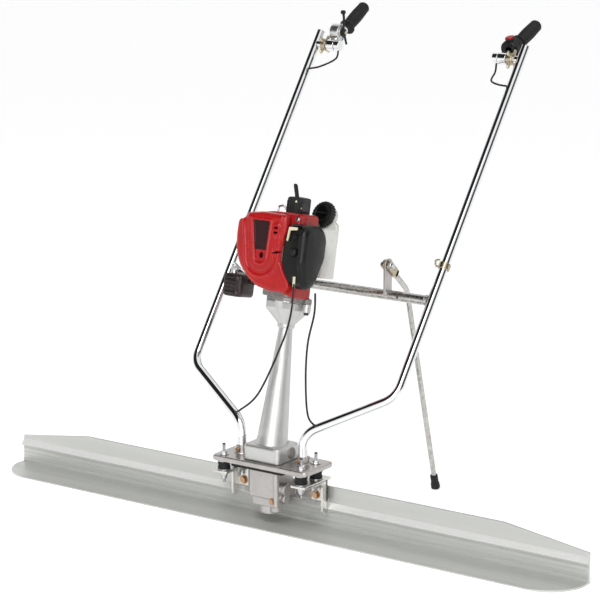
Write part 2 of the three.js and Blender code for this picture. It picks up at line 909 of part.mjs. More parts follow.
function primerBulb() {
  const profile = [[0, 0], [9, 0], [9, 3], [7.8, 6.5], [4.5, 9], [0, 10]];
  return turned(profile, 20, [50, -74 - GAP, 416], [0, -1, 0]);
}

// The filler's axis points forwards over the fan and a little up.
const FILLER = { base: [22, 88, 494], direction: [-0.1, -0.95, 0.3] };

function fuelTank() {
  const aimed = [FILLER.base, FILLER.direction];
  const tank = slab(roundedRectangle(-62, 58, 34 + GAP, 88, 18), "up", 362, 490, 12);
  const shoulder = turned([[0, 0], [24, 0], [27, 3], [27, 12], [24, 14], [0, 14]], 28, ...aimed);
  const neck = turned([[0, 2], [15, 2], [15, 25], [0, 25]], 24, ...aimed);
  const fanSpace = post(0, 0, 426, 500, FAN_COVER_RADIUS + 1, 32);
  const capSpace = turned([[0, 17], [30.5, 17], [30.5, 60], [0, 60]], 28, ...aimed);
  return union(cut(tank, capSpace), shoulder, neck).subtract(fanSpace);
}

function fuelCap() {
  const profile = [[0, 26], [15.6, 26], [15.6, 18], [27, 18], [29, 20], [29, 31], [26, 36], [0, 36]];
  return turned(profile, 28, FILLER.base, FILLER.direction);
}

function muffler() {
  const box = slab(roundedRectangle(-150, -78, 302, 352, 8), "forwards", -8, 46, 4);
  const port = block(-80, -44 - GAP, -28, -6, 319, 335);
  return box.add(port);
}

// ---- handles -------------------------------------------------------------------------------

function sidePoint(side, { x, y, z }) {
  return [side * x, y, z];
}

// Where the handle's upper straight run passes a given height.
function tubeAt(side, height) {
  const t = (height - TUBE_KNEE.z) / (TUBE_TOP.z - TUBE_KNEE.z);
  const x = TUBE_KNEE.x + t * (TUBE_TOP.x - TUBE_KNEE.x);
  const y = TUBE_KNEE.y + t * (TUBE_TOP.y - TUBE_KNEE.y);
  return [side * x, y, height];
}

function handlePath(side) {
  return bentPath(
    [
      [side * TUBE_FOOT.x, TUBE_FOOT.y, PLATE_TOP + GAP],
      sidePoint(side, TUBE_BEND),
      sidePoint(side, TUBE_KNEE),
      sidePoint(side, TUBE_TOP),
    ],
    BEND_RADIUS,
    5,
  );
}

const STUB_Y = tubeAt(1, STUB_HEIGHT)[1];

function handleTube(side) {
  const outside = sweep(handlePath(side), TUBE_RADIUS, 20);
  const bore = sweep(handlePath(side), TUBE_RADIUS - TUBE_WALL, 10);
  const stub = rod(
    [side * (TUBE_TOP.x - 2), STUB_Y, STUB_HEIGHT],
    [side * STUB_INNER_X, STUB_Y, STUB_HEIGHT],
    STUB_RADIUS,
    20,
  );
  return cut(union(outside, stub), bore, tubeBoltHole(side), cable(side, CABLE_RADIUS + 1.2));
}

function crossbar() {
  const [endX, y, z] = tubeAt(1, CROSSBAR_HEIGHT);
  const bar = rod([-endX, y, z], [endX, y, z], CROSSBAR_RADIUS, 24);
  const upright = slab(
    roundedRectangle(y - 13, y + 13, z - 6, STAND_PIVOT_HEIGHT + 14, 10),
    "alongX",
    STAND_X - 3,
    STAND_X + 3,
  );
  const pivotHole = rod(
    [STAND_X - 10, y, STAND_PIVOT_HEIGHT],
    [STAND_X + 10, y, STAND_PIVOT_HEIGHT],
    STUD_RADIUS + GAP,
    16,
  );
  const screwHole = rod([204, y - 20, z], [204, y - 6, z], 3, 12);
  const tubes = [1, -1].map((side) => sweep(handlePath(side), TUBE_RADIUS + GAP, 24));
  return cut(union(bar, upright), pivotHole, screwHole, ...tubes);
}

function armDirection(rise) {
  return [0, Math.cos(rise), Math.sin(rise)];
}

function onArm(side, rise, distance, lift = 0) {
  const [, cos, sin] = armDirection(rise);
  return [
    side * ARM_X,
    STUB_Y + distance * cos - lift * sin,
    STUB_HEIGHT + distance * sin + lift * cos,
  ];
}

// A round bar about the axis of a handle's stub.
function onStub(side, x0, x1, radius, sides) {
  return rod([side * x0, STUB_Y, STUB_HEIGHT], [side * x1, STUB_Y, STUB_HEIGHT], radius, sides);
}

// A hub on the stub with a straight bar for the grip.
function gripArm(side, rise) {
  const hub = onStub(side, ARM_X - 10, ARM_X + 10, STUB_RADIUS + 4, 24);
  const bar = rod(onArm(side, rise, 0), onArm(side, rise, ARM_LENGTH - 5), 8.5, 20);
  const bore = onStub(side, ARM_X - 25, ARM_X + 25, STUB_RADIUS + 2 * GAP, 20);
  return cut(union(hub, bar), bore);
}

function grip(side, rise) {
  const bore = 8.5 + GAP;
  const start = 70;
  const end = ARM_LENGTH - start;
  return turned(
    [
      [0, end - 4],
      [bore, end - 4],
      [bore, 0],
      [19, 0],
      [19, 5],
      [14, 8],
      [13, 20],
      [14.5, 45],
      [13, 70],
      [14.5, end - 6],
      [11, end],
      [0, end],
    ],
    24,
    onArm(side, rise, start),
    armDirection(rise),
  );
}

// A four-winged nut on the stub, between the handle tube and the arm.
function wingNut(side) {
  const hub = onStub(side, 241.5, 257, STUB_RADIUS + 5, 20);
  const wings = [45, -45].map((degrees) => {
    const angle = THREE.MathUtils.degToRad(degrees);
    const reach = [0, 25 * Math.cos(angle), 25 * Math.sin(angle)];
    const middle = side * 250;
    return rod(
      [middle, STUB_Y - reach[1], STUB_HEIGHT - reach[2]],
      [middle, STUB_Y + reach[1], STUB_HEIGHT + reach[2]],
      4.5,
      12,
    );
  });
  return cut(union(hub, ...wings), onStub(side, 230, 262, STUB_RADIUS + 2 * GAP, 20));
}

const THROTTLE_SEAT = { distance: 35, lift: 12 };

// A band round the left arm that carries a round lever housing.
function throttleBody() {
  const band = rod(onArm(-1, LEFT_ARM_RISE, 24), onArm(-1, LEFT_ARM_RISE, 44), 13, 20);
  const centre = onArm(-1, LEFT_ARM_RISE, THROTTLE_SEAT.distance, THROTTLE_SEAT.lift);
  const disc = rod(shiftX(centre, -11), shiftX(centre, 12), 20, 28);
  const armSpace = rod(onArm(-1, LEFT_ARM_RISE, 15), onArm(-1, LEFT_ARM_RISE, 55), 8.5 + GAP, 20);
  const pin = rod(centre, shiftX(centre, 21), 3, 12);
  return cut(union(band, disc), armSpace).add(pin);
}

function shiftX([x, y, z], by) {
  return [x + by, y, z];
}

function throttleLever() {
  const centre = onArm(-1, LEFT_ARM_RISE, THROTTLE_SEAT.distance, THROTTLE_SEAT.lift);
  const tip = onArm(-1, LEFT_ARM_RISE, THROTTLE_SEAT.distance + 22, THROTTLE_SEAT.lift + 42);
  const tail = onArm(-1, LEFT_ARM_RISE, THROTTLE_SEAT.distance - 4, THROTTLE_SEAT.lift - 30);
  const hub = rod(shiftX(centre, 12 + GAP), shiftX(centre, 20), 9, 20);
  const upper = rod(shiftX(centre, 16.5), shiftX(tip, 16.5), 2.8, 12);
  const lower = rod(shiftX(centre, 16.5), shiftX(tail, 16.5), 2.8, 12);
  const hole = rod(centre, shiftX(centre, 30), 3 + GAP, 16);
  return cut(union(hub, upper, lower), hole);
}

const STOP_DISTANCE = 42;

function switchBody() {
  const onRight = (distance, lift) => onArm(1, RIGHT_ARM_RISE, distance, lift);
  const profile = [[0, 0], [20, 0], [22, 3], [22, 27], [20, 30], [0, 30]];
  const body = turned(profile, 28, onRight(27.5, 5), armDirection(RIGHT_ARM_RISE));
  const armSpace = rod(onRight(10, 0), onRight(70, 0), 8.5 + GAP, 20);
  const well = rod(onRight(STOP_DISTANCE, 18), onRight(STOP_DISTANCE, 35), 9, 24);
  return cut(body, armSpace, well);
}

function stopButton() {
  const bottom = onArm(1, RIGHT_ARM_RISE, STOP_DISTANCE, 22.5);
  const top = onArm(1, RIGHT_ARM_RISE, STOP_DISTANCE, 32);
  return rod(bottom, top, 8.4, 20);
}

// ---- stand ---------------------------------------------------------------------------------

const STAND_Y = tubeAt(1, CROSSBAR_HEIGHT)[1];
const STAND_KNEE = { back: 78, down: 68 };

function standPath() {
  const fork = vector([0, STAND_KNEE.back, -STAND_KNEE.down]).normalize();
  const start = fork.clone().multiplyScalar(34);
  return bentPath(
    [
      [STAND_X, STAND_Y + start.y, STAND_PIVOT_HEIGHT + start.z],
      [STAND_X, STAND_Y + STAND_KNEE.back, STAND_PIVOT_HEIGHT - STAND_KNEE.down],
      [STAND_X, STAND_Y + STAND_REACH, 12],
    ],
    40,
  );
}

// A fork round the upright, and a cranked rod down to the floor.
function standLeg() {
  const angle = Math.atan2(STAND_KNEE.down, STAND_KNEE.back);
  const fork = block(-9, 9, -11, 38, -11, 11);
  const slot = block(-3.5, 3.5, -20, 31, -20, 20);
  const hole = rod([-12, 0, 0], [12, 0, 0], STUD_RADIUS + GAP, 16);
  const placed = cut(fork, slot, hole)
    .rotate([THREE.MathUtils.radToDeg(-angle), 0, 0])
    .translate([STAND_X, STAND_Y, STAND_PIVOT_HEIGHT]);
  return placed.add(sweep(standPath(), STAND_ROD_RADIUS, 16));
}

// A rubber cap with a flat tread on the floor.
function standFoot() {
  const heading = standPath().stations.at(-1).heading.toArray();
  const end = [STAND_X, STAND_Y + STAND_REACH, 12];
  const back = vector(end).addScaledVector(vector(heading), -24).toArray();
  const outer = rod(back, vector(end).addScaledVector(vector(heading), 20).toArray(), 11, 24);
  const socket = rod(
    vector(end).addScaledVector(vector(heading), -40).toArray(),
    vector(end).addScaledVector(vector(heading), GAP).toArray(),
    STAND_ROD_RADIUS + GAP,
    20,
  );
  const belowFloor = block(STAND_X - 60, STAND_X + 60, 300, 560, -60, 0);
  return cut(outer, socket, belowFloor);
}

function standBolt() {
  const head = { radius: 7, height: 5.5 };
  return bolt([STAND_X - 9, STAND_Y, STAND_PIVOT_HEIGHT], [1, 0, 0], 18, STUD_RADIUS, head);
}

// A spring clip round the right handle tube with a hook for the wire.
function cableClip() {
  const [x, y, z] = tubeAt(1, 550);
  const heading = vector(tubeAt(1, 590)).sub(vector(tubeAt(1, 550))).normalize();
  const start = vector([x, y, z]);
  const end = start.clone().addScaledVector(heading, 14);
  const band = rod(start.toArray(), end.toArray(), TUBE_RADIUS + 3, 24);
  const hook = block(x - 20, x - 8, y - 2, y + 8, z - 4, z + 18);
  const tube = sweep(handlePath(1), TUBE_RADIUS + GAP, 24);
  return cut(union(band, hook), tube);
}

// ---- cables --------------------------------------------------------------------------------

const CABLE_RADIUS = 2.2;

// Points in the world frame of a point given in the leaning frame.
function leaningPoint(point) {
  return vector(point).applyMatrix4(leaning.matrix).toArray();
}

// Each cable leaves the engine, enters the handle's lower run, follows its bore past the knee,
// comes out below the grip and ends at the stub, on the arm's own axis.
function cableCorners(side) {
  const fromEngine =
    side < 0
      ? [
          leaningPoint([69, -93, 368]),
          leaningPoint([71, -93, 342]),
          [54, -7, 470],
          [35, -14, 405],
          [-24, -14, 292],
          [-76, -11, 245],
        ]
      : [leaningPoint([78, -20, 334]), [86, 35, 470], [76, 25, 405], [80, 12, 330], [100, -8, 258]];
  return [
    ...fromEngine,
    lowerRunAt(side, 229),
    sidePoint(side, TUBE_KNEE),
    tubeAt(side, 915),
    [side * 256, 502, 926],
    [side * 226, 512, 926],
    [side * 192, 545, 962],
    [side * 200, STUB_Y, STUB_HEIGHT],
    [side * 211, STUB_Y, STUB_HEIGHT],
  ];
}

function lowerRunAt(side, height) {
  const t = (height - TUBE_BEND.z) / (TUBE_KNEE.z - TUBE_BEND.z);
  const x = TUBE_BEND.x + t * (TUBE_KNEE.x - TUBE_BEND.x);
  const y = TUBE_BEND.y + t * (TUBE_KNEE.y - TUBE_BEND.y);
  return [side * x, y, height];
}

function cable(side, radius) {
  return sweep(bentPath(cableCorners(side), 16, 3), radius, 10);
}

// ---- assembly ------------------------------------------------------------------------------

addNode("screed_blade", screedBlade(), materials.aluminium);
addNode("exciter_housing", exciterHousing(), materials.castAluminium);
addNode("exciter_bearing_lower", exciterBearing(38), materials.steel);
addNode("exciter_bearing_upper", exciterBearing(112), materials.steel);
addNode("eccentric_shaft", eccentricShaft(), materials.steel);
addNode("base_plate", basePlate(), materials.zincPlate);
addNode("column", column(), materials.castAluminium);
addNode("crossbar", crossbar(), materials.chrome);

for (const [word, side, rise] of [["left", -1, LEFT_ARM_RISE], ["right", 1, RIGHT_ARM_RISE]]) {
  addNode(word + "_blade_bracket", bladeBracket(side), materials.steel);
  addNode(word + "_bracket_bolt", bracketBolt(side), materials.yellowZinc);
  addNode(word + "_tube_bolt", tubeBolt(side), materials.darkSteel);
  addNode(word + "_handle_tube", handleTube(side), materials.chrome);
  addNode(word + "_grip_arm", gripArm(side, rise), materials.chrome);
  addNode(word + "_grip", grip(side, rise), materials.rubber);
  addNode(word + "_wing_nut", wingNut(side), materials.yellowZinc);
  addNode(word + "_housing_bolt", housingBolt(side), materials.darkSteel, leaning);
  for (const [end, y] of [["front", BUFFER_FRONT_Y], ["rear", BUFFER_REAR_Y]]) {
    const place = [side * BUFFER_X, y];
    addNode(end + "_" + word + "_buffer", buffer(...place), materials.rubber);
    addNode(end + "_" + word + "_stud", bufferStud(...place), materials.steel);
  }
}

addNode("drive_shaft", driveShaft(), materials.steel, leaning);
addNode("flexible_coupling", flexibleCoupling(), materials.rubber, leaning);
addNode("drive_bearing", driveBearing(), materials.steel, leaning);
addNode("clutch_housing", clutchHousing(), materials.castAluminium, leaning);
addNode("clutch_drum", clutchDrum(), materials.steel, leaning);
addNode("clutch_rotor", clutchRotor(), materials.darkSteel, leaning);
addNode("crankshaft", crankshaft(), materials.steel, leaning);
addNode("crankcase", crankcase(), materials.castAluminium, leaning);
addNode("engine_cover", engineCover(), materials.redPlastic, leaning);
addNode("recoil_housing", recoilHousing(), materials.blackPlastic, leaning);
addNode("starter_grip", starterGrip(), materials.blackPlastic, leaning);
addNode("air_cleaner_cover", airCleanerCover(), materials.blackPlastic, leaning);
addNode("carburettor", carburettor(), materials.blackPlastic, leaning);
addNode("choke_lever", chokeLever(), materials.tankPlastic, leaning);
addNode("primer_bulb", primerBulb(), materials.rubber, leaning);
addNode("fuel_tank", fuelTank(), materials.tankPlastic, leaning);
addNode("fuel_cap", fuelCap(), materials.blackPlastic, leaning);
addNode("muffler", muffler(), materials.muffler, leaning);

addNode("throttle_body", throttleBody(), materials.steel);
addNode("throttle_lever", throttleLever(), materials.blackPlastic);
addNode("switch_body", switchBody(), materials.blackPlastic);
addNode("stop_button", stopButton(), materials.redPlastic);
addNode("stand_leg", standLeg(), materials.zincPlate);
addNode("stand_foot", standFoot(), materials.rubber);
addNode("stand_bolt", standBolt(), materials.steel);
addNode("cable_clip", cableClip(), materials.yellowZinc);
addNode("throttle_cable", cable(-1, CABLE_RADIUS), materials.rubber);
addNode("stop_wire", cable(1, CABLE_RADIUS), materials.rubber);

export default root;
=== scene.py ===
"""Looks of a power screed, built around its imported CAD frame. Lengths here are in millimetres."""

import json
from math import atan2, cos, exp, hypot, pi, radians, sin, sqrt, tan

import bmesh
import bpy
from mathutils import Matrix, Vector

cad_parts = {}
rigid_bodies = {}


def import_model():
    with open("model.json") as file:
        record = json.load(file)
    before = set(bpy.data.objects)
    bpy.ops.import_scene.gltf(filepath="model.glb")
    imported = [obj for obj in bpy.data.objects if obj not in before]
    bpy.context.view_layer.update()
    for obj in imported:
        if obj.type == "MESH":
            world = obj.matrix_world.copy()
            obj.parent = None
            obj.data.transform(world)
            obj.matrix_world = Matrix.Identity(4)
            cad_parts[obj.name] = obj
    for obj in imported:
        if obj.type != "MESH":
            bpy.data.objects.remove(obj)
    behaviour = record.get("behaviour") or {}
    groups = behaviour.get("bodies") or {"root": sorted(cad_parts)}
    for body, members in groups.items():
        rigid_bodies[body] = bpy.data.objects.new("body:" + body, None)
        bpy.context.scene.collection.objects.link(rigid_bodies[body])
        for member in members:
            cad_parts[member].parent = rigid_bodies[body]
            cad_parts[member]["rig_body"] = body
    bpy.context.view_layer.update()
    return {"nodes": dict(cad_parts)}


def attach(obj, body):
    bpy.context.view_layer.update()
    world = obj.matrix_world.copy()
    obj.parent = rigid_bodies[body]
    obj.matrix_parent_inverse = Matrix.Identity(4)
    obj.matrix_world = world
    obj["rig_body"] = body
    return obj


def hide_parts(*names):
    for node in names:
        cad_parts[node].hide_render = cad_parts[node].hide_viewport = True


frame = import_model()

MM = 0.001
UP, ALONG_X, FORWARDS = "up", "along_x", "forwards"
X_AXIS = Vector((1, 0, 0))

# The engine and column lean back about the X axis, from a point above the base plate.
LEAN = Matrix.Translation((0, 0, 180)) @ Matrix.Rotation(radians(-12), 4, "X")
SIDES = (("left", -1), ("right", 1))
RISE = {-1: radians(30), 1: radians(23)}
ARM_X = 230
STUB_HEIGHT = 970
TUBE_X, TUBE_Y = 80.3, 1.5
TUBE_CORNERS = [(TUBE_X, TUBE_Y, 147.3), (TUBE_X, TUBE_Y, 214), (267, 75.6, 305.7), (274.2, 583, 997.4)]


# ---- geometry ----


class Form:
    """Closed shells under construction: points in millimetres and faces with a paint number."""

    def __init__(self):
        self.points = []
        self.faces = []
        self.paints = []

    def add_faces(self, faces, paint):
        self.faces.extend(faces)
        self.paints.extend([paint] * len(faces))

    def rings(self, rings, paint=0, loop=False):
        """Joins rings of equally many points; the ends are capped, or joined to each other."""
        start, count = len(self.points), len(rings[0])
        for ring in rings:
            self.points.extend(Vector(p) for p in ring)
        faces = []
        spans = len(rings) if loop else len(rings) - 1
        for i in range(spans):
            low = start + i * count
            high = start + ((i + 1) % len(rings)) * count
            for k in range(count):
                n = (k + 1) % count
                faces.append((low + k, low + n, high + n, high + k))
        if not loop:
            last = start + (len(rings) - 1) * count
            faces.append(tuple(start + k for k in reversed(range(count))))
            faces.append(tuple(last + k for k in range(count)))
        self.add_faces(faces, paint)
        return self

    def join(self, other):
        start = len(self.points)
        self.points.extend(other.points)
        self.faces.extend(tuple(start + i for i in face) for face in other.faces)
        self.paints.extend(other.paints)
        return self

    def moved(self, matrix):
        self.points = [matrix @ p for p in self.points]
        return self


def join(*forms):
    whole = Form()
    for form in forms:
        whole.join(form)
    return whole


def lean(form):
    return form.moved(LEAN)


def fillet(points, radius, closed=False, steps=4):
    """Rounds the corners of a line or outline with short curves."""
    points = [Vector(p) for p in points]
    count = len(points)
    rounded = []
    for i, p in enumerate(points):
        if not closed and i in (0, count - 1):
            rounded.append(p)
            continue
        before, after = points[i - 1] - p, points[(i + 1) % count] - p
        reach = min(radius, 0.45 * before.length, 0.45 * after.length)
        a, b = p + before.normalized() * reach, p + after.normalized() * reach
        for k in range(steps + 1):
            t = k / steps
            rounded.append(a * (1 - t) ** 2 + p * 2 * t * (1 - t) + b * t**2)
    return rounded


def arc(cx, cy, radius, start, end, steps=10):
    angles = [start + (end - start) * k / steps for k in range(steps + 1)]
    return [(cx + radius * cos(a), cy + radius * sin(a)) for a in angles]


def rectangle(x0, x1, y0, y1, radius=0.0):
    corners = [(x0, y0), (x1, y0), (x1, y1), (x0, y1)]
    return fillet(corners, radius, closed=True, steps=6) if radius else corners


def circle(sides):
    """Cosine and sine at even steps round a full turn."""
    angles = [2 * pi * k / sides for k in range(sides)]
    return [(cos(a), sin(a)) for a in angles]


def placed(plan, point, depth):
    x, y = point[0], point[1]
    if plan == UP:
        return Vector((x, y, depth))
    if plan == ALONG_X:
        return Vector((depth, x, y))
    return Vector((x, -depth, y))


def prism(outline, plan, low, high):
    return Form().rings([[placed(plan, p, d) for p in outline] for d in (low, high)])


def pillow(outline, plan, low, high, rim, crown=0.0, steps=6):
    """A slab whose upper rim is well rounded and whose top rises a little towards the middle."""
    centre = sum((Vector(p[:2]) for p in outline), Vector((0, 0))) / len(outline)
    rings = [[placed(plan, p, low) for p in outline]]
    reach = min((Vector(p[:2]) - centre).length for p in outline)
    for k in range(steps + 1):
        angle = pi / 2 * k / steps
        shrink = 1 - rim * (1 - cos(angle)) / reach
        depth = high - crown - rim + rim * sin(angle)
        rings.append([placed(plan, centre + (Vector(p[:2]) - centre) * shrink, depth) for p in outline])
    flat = 1 - rim / reach
    for k in range(1, steps):
        share = 1 - k / steps
        depth = high - crown * share**2
        rings.append([placed(plan, centre + (Vector(p[:2]) - centre) * flat * share, depth) for p in outline])
    return Form().rings(rings)


def lathe(profile, start=(0, 0, 0), direction=(0, 0, 1), sides=40, paint=0, lobes=0, depth=0.0):
    """Turns a profile of radius and height; lobes scallop it round the axis."""
    turn = Vector((0, 0, 1)).rotation_difference(Vector(direction))
    loop = profile[0][0] > 1e-6
    rings = []
    for radius, height in (p[:2] for p in profile):
        if radius < 1e-6:
            continue
        ring = []
        for k in range(sides):
            angle = 2 * pi * k / sides
            r = radius - depth * (0.5 - 0.5 * cos(lobes * angle)) if lobes else radius
            ring.append(Vector(start) + turn @ Vector((r * cos(angle), r * sin(angle), height)))
        rings.append(ring)
    return Form().rings(rings, paint, loop)


def rod(start, end, radius, sides=32, rim=0.6, paint=0):
    start, end = Vector(start), Vector(end)
    length = (end - start).length
    profile = fillet([(0, 0), (radius, 0), (radius, length), (0, length)], rim, steps=3)
    return lathe(profile, start, end - start, sides, paint)


def block(x0, x1, y0, y1, z0, z1):
    return prism(rectangle(x0, x1, y0, y1), UP, z0, z1)


def bent(corners, radius, steps=10):
    """Points and headings along straight runs that are joined by round bends."""
    points = [Vector(c) for c in corners]
    headings = [(b - a).normalized() for a, b in zip(points, points[1:])]
    path = [(points[0], headings[0])]
    for i in range(1, len(points) - 1):
        before, after = headings[i - 1], headings[i]
        turn = before.angle(after)
        if turn < 1e-3:
            continue
        axis = before.cross(after).normalized()
        start = points[i] - before * radius * tan(turn / 2)
        centre = start + axis.cross(before) * radius
        for k in range(steps + 1):
            spin = Matrix.Rotation(turn * k / steps, 3, axis)
            path.append((centre + spin @ (start - centre), spin @ before))
    path.append((points[-1], headings[-1]))
    return path


def sweep(path, radius, sides=28):
    """A round bar along a path, without twist."""
    side = path[0][1].orthogonal().normalized()
    rings = []
    for point, heading in path:
        side = (side - heading * side.dot(heading)).normalized()
        other = heading.cross(side)
        rings.append([point + side * radius * c + other * radius * s for c, s in circle(sides)])
    return Form().rings(rings)


def smooth_path(corners, steps=8):
    """A soft curve through points, for cables."""
    points = [Vector(c) for c in corners]
    padded = [points[0]] + points + [points[-1]]
    line = []
    for a, b, c, d in zip(padded, padded[1:], padded[2:], padded[3:]):
        for k in range(steps):
            t = k / steps
            line.append(0.5 * (2 * b + (c - a) * t + (2 * a - 5 * b + 4 * c - d) * t**2
                               + (3 * b - a - 3 * c + d) * t**3))
    line.append(points[-1])
    headings = [(b - a).normalized() for a, b in zip(line, line[1:])]
    return list(zip(line, headings + [headings[-1]]))


def thread(x, y, z0, z1, radius, pitch=1.25):
    """A stud's thread as close rings round it."""
    profile = [(0, z0), (radius - 0.8, z0)]
    height = z0 + 0.6
    while height < z1 - pitch:
        profile += [(radius - 0.55, height), (radius, height + pitch / 2)]
        height += pitch
    profile += [(radius - 0.8, z1), (0, z1)]
    return lathe(profile, (x, y, 0), sides=20)


def hexagon(start, direction, radius, height):
    """A hexagon nut or head with chamfered corners."""
    turn = Vector((0, 0, 1)).rotation_difference(Vector(direction))
    levels = [(0.93, 0), (1, 0.08 * height), (1, 0.86 * height), (0.9, height)]
    rings = []
    for share, level in levels:
        ring = []
        for k in range(24):
            angle = 2 * pi * k / 24
            corner = (angle + pi / 6) % (pi / 3) - pi / 6
            flat = 0.866 / cos(corner)
            r = radius * min(flat, share)
            ring.append(Vector(start) + turn @ Vector((r * cos(angle), r * sin(angle), level)))
        rings.append(ring)
    return Form().rings(rings)


def washer(start, direction, radius, hole, thickness=1.4):
    profile = fillet([(hole, 0), (radius, 0), (radius, thickness), (hole, thickness)], 0.3, True, 2)
    return lathe(profile, start, direction, 36)


# ---- objects ----


def add_object(name, data):
    item = bpy.data.objects.new(name, data)
    bpy.context.scene.collection.objects.link(item)
    return item


def make(name, form, paints, bevel=0.0, sharp=38):
    """A Blender object from a form, with bevelled edges and even shading."""
    mesh = bpy.data.meshes.new(name)
    mesh.from_pydata([p * MM for p in form.points], [], form.faces)
    for paint in paints:
        mesh.materials.append(paint)
    mesh.polygons.foreach_set("material_index", form.paints)
    build = bmesh.new()
    build.from_mesh(mesh)
    bmesh.ops.recalc_face_normals(build, faces=build.faces)
    if bevel:
        edges = [e for e in build.edges if e.is_manifold and e.calc_face_angle() > radians(45)]
        bmesh.ops.bevel(build, geom=edges, offset=bevel * MM, segments=3, profile=0.5,
                        affect="EDGES", clamp_overlap=True)
    build.to_mesh(mesh)
    build.free()
    mesh.shade_smooth()
    mesh.set_sharp_from_angle(angle=radians(sharp))
    item = add_object(name, mesh)
    item.modifiers.new("even shading", "WEIGHTED_NORMAL").keep_sharp = True
    return item


def settle(item):
    """Applies an object's modifiers to its mesh."""
    bpy.context.view_layer.update()
    graph = bpy.context.evaluated_depsgraph_get()
    final = bpy.data.meshes.new_from_object(item.evaluated_get(graph))
    item.modifiers.clear()
    item.data = final


def carve(item, cutters):
    """Cuts closed forms out of an object."""
    tool = make(item.name + "_cutter", cutters, [])
    cut = item.modifiers.new("cut", "BOOLEAN")
    cut.operation = "DIFFERENCE"
    cut.solver = "EXACT"
    cut.use_self = True
    cut.object = tool
    settle(item)
    bpy.data.objects.remove(tool)
    item.data.set_sharp_from_angle(angle=radians(38))
    return item


def cast(name, form, paint, voxel, passes, cutters=None):
    """Shells fused into one skin with soft inner corners, as a casting or moulding has."""
    item = make(name, form, [paint])
    if cutters is not None:
        carve(item, cutters)
    fuse = item.modifiers.new("fuse", "REMESH")
    fuse.mode = "VOXEL"
    fuse.voxel_size = voxel * MM
    soften = item.modifiers.new("soften", "SMOOTH")
    soften.factor = 0.5
    soften.iterations = passes
    settle(item)
    item.data.materials.clear()
    item.data.materials.append(paint)
    item.data.shade_smooth()
    return item


def stand_for(item, node):
    """The object is shown in place of a CAD node and moves with that node's body."""
    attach(item, frame["nodes"][node]["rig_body"])
    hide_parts(node)


def show(node, name, form, paints, **edges):
    """A new object that stands for a CAD node."""
    stand_for(make(name, form, paints, **edges), node)


def detail(node, slot, name, form, paints, **edges):
    """A new object, beside the CAD nodes, that moves with a node's body."""
    item = make(name, form, paints, **edges)
    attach(item, frame["nodes"][node]["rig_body"])


# ---- materials ----


def fill(node, values):
    """Sets a shader node's inputs by name or number."""
    for key, value in values.items():
        node.inputs[key].default_value = value
    return node


def add_node(tree, kind, values=None):
    return fill(tree.nodes.new("ShaderNode" + kind), values or {})


def map_range(tree, value, source, target):
    """A node that stretches the source range of a value to the target range."""
    limits = zip(("From Min", "From Max", "To Min", "To Max"), source + target)
    scale = add_node(tree, "MapRange", dict(limits))
    tree.links.new(value, scale.inputs["Value"])
    return scale


def surface(name, color, roughness, metallic=0.0, mottle=0.08, patch=25.0, grain=0.2, grain_size=1.2,
            stretch=(1, 1, 1), spread=0.1, worn=None, coat=0.0, specular=0.5, glow=0.0):
    """A finish whose colour, gloss and bump vary over the surface. patch and grain_size are in mm."""
    material = bpy.data.materials.new(name)
    material.use_nodes = True
    tree = material.node_tree
    shader = tree.nodes["Principled BSDF"]
    link = tree.links.new

    place = add_node(tree, "TexCoord")
    mapping = add_node(tree, "Mapping", {"Scale": stretch})
    link(place.outputs["Object"], mapping.inputs["Vector"])

    def noise(size, detail):
        texture = add_node(tree, "TexNoise", {"Scale": 1000 / size, "Detail": detail})
        link(mapping.outputs["Vector"], texture.inputs["Vector"])
        return texture.outputs[0]

    def ranged(value, low, high, start=0.3, stop=0.7):
        return map_range(tree, value, (start, stop), (low, high)).outputs["Result"]

    patches = noise(patch, 5)
    grains = noise(grain_size, 3)
    tint = add_node(tree, "HueSaturation", {"Color": (*color, 1)})
    link(ranged(patches, 1 - mottle, 1 + mottle), tint.inputs["Value"])
    link(ranged(grains, 0.5 - mottle * 0.06, 0.5 + mottle * 0.06), tint.inputs["Hue"])
    final = tint.outputs["Color"]
    if worn:
        shape = add_node(tree, "NewGeometry")
        edge = ranged(shape.outputs["Pointiness"], 0, 0.75, 0.53, 0.6)
        mix = add_node(tree, "Mix", {7: (*worn, 1)})
        mix.data_type = "RGBA"
        link(edge, mix.inputs[0])
        link(final, mix.inputs[6])
        final = mix.outputs[2]
    link(final, shader.inputs["Base Color"])
    link(ranged(patches, roughness - spread / 2, roughness + spread / 2), shader.inputs["Roughness"])

    bump = add_node(tree, "Bump", {"Strength": grain, "Distance": 0.1 * grain_size * MM})
    link(grains, bump.inputs["Height"])
    link(bump.outputs["Normal"], shader.inputs["Normal"])
    fill(shader, {"Metallic": metallic, "Specular IOR Level": specular})
    fill(shader, {"Coat Weight": coat, "Coat Roughness": 0.06})
    if glow:
        fill(shader, {"Subsurface Weight": glow, "Subsurface Radius": (0.02, 0.02, 0.018)})
    return material


blade_metal = surface("blade_aluminium", (0.62, 0.63, 0.605), 0.36, 0.4, 0.12, 60, 0.4, 1.6,
                      stretch=(0.03, 1, 1), spread=0.16)
# Painted highlight: near-white colour for the blade ledge's underside band, standing in for the light it
# reflects.
ledge_highlight = surface("ledge_highlight", (0.88, 0.88, 0.87), 0.3, 0.2, 0.05, 60, 0.3, 1.6, stretch=(0.03, 1, 1))
cast_metal = surface("cast_aluminium", (0.58, 0.58, 0.57), 0.42, 0.8, 0.05, 30, 0.3, 1.1, spread=0.08)
# Painted shade: a darker copy of the cast aluminium for the exciter, which sits in shadow under the base
# plate.
exciter_painted_shade = surface("exciter_casting", (0.47, 0.45, 0.44), 0.4, 0.75, 0.08, 24, 0.3, 1.1, spread=0.1)
machined = surface("machined_aluminium", (0.66, 0.66, 0.66), 0.3, 0.95, 0.06, 8, 0.2, 0.7)
zinc_metal = surface("zinc_plate", (0.46, 0.44, 0.425), 0.34, 0.85, 0.16, 22, 0.3, 1.0,
                     spread=0.18, worn=(0.7, 0.68, 0.66))
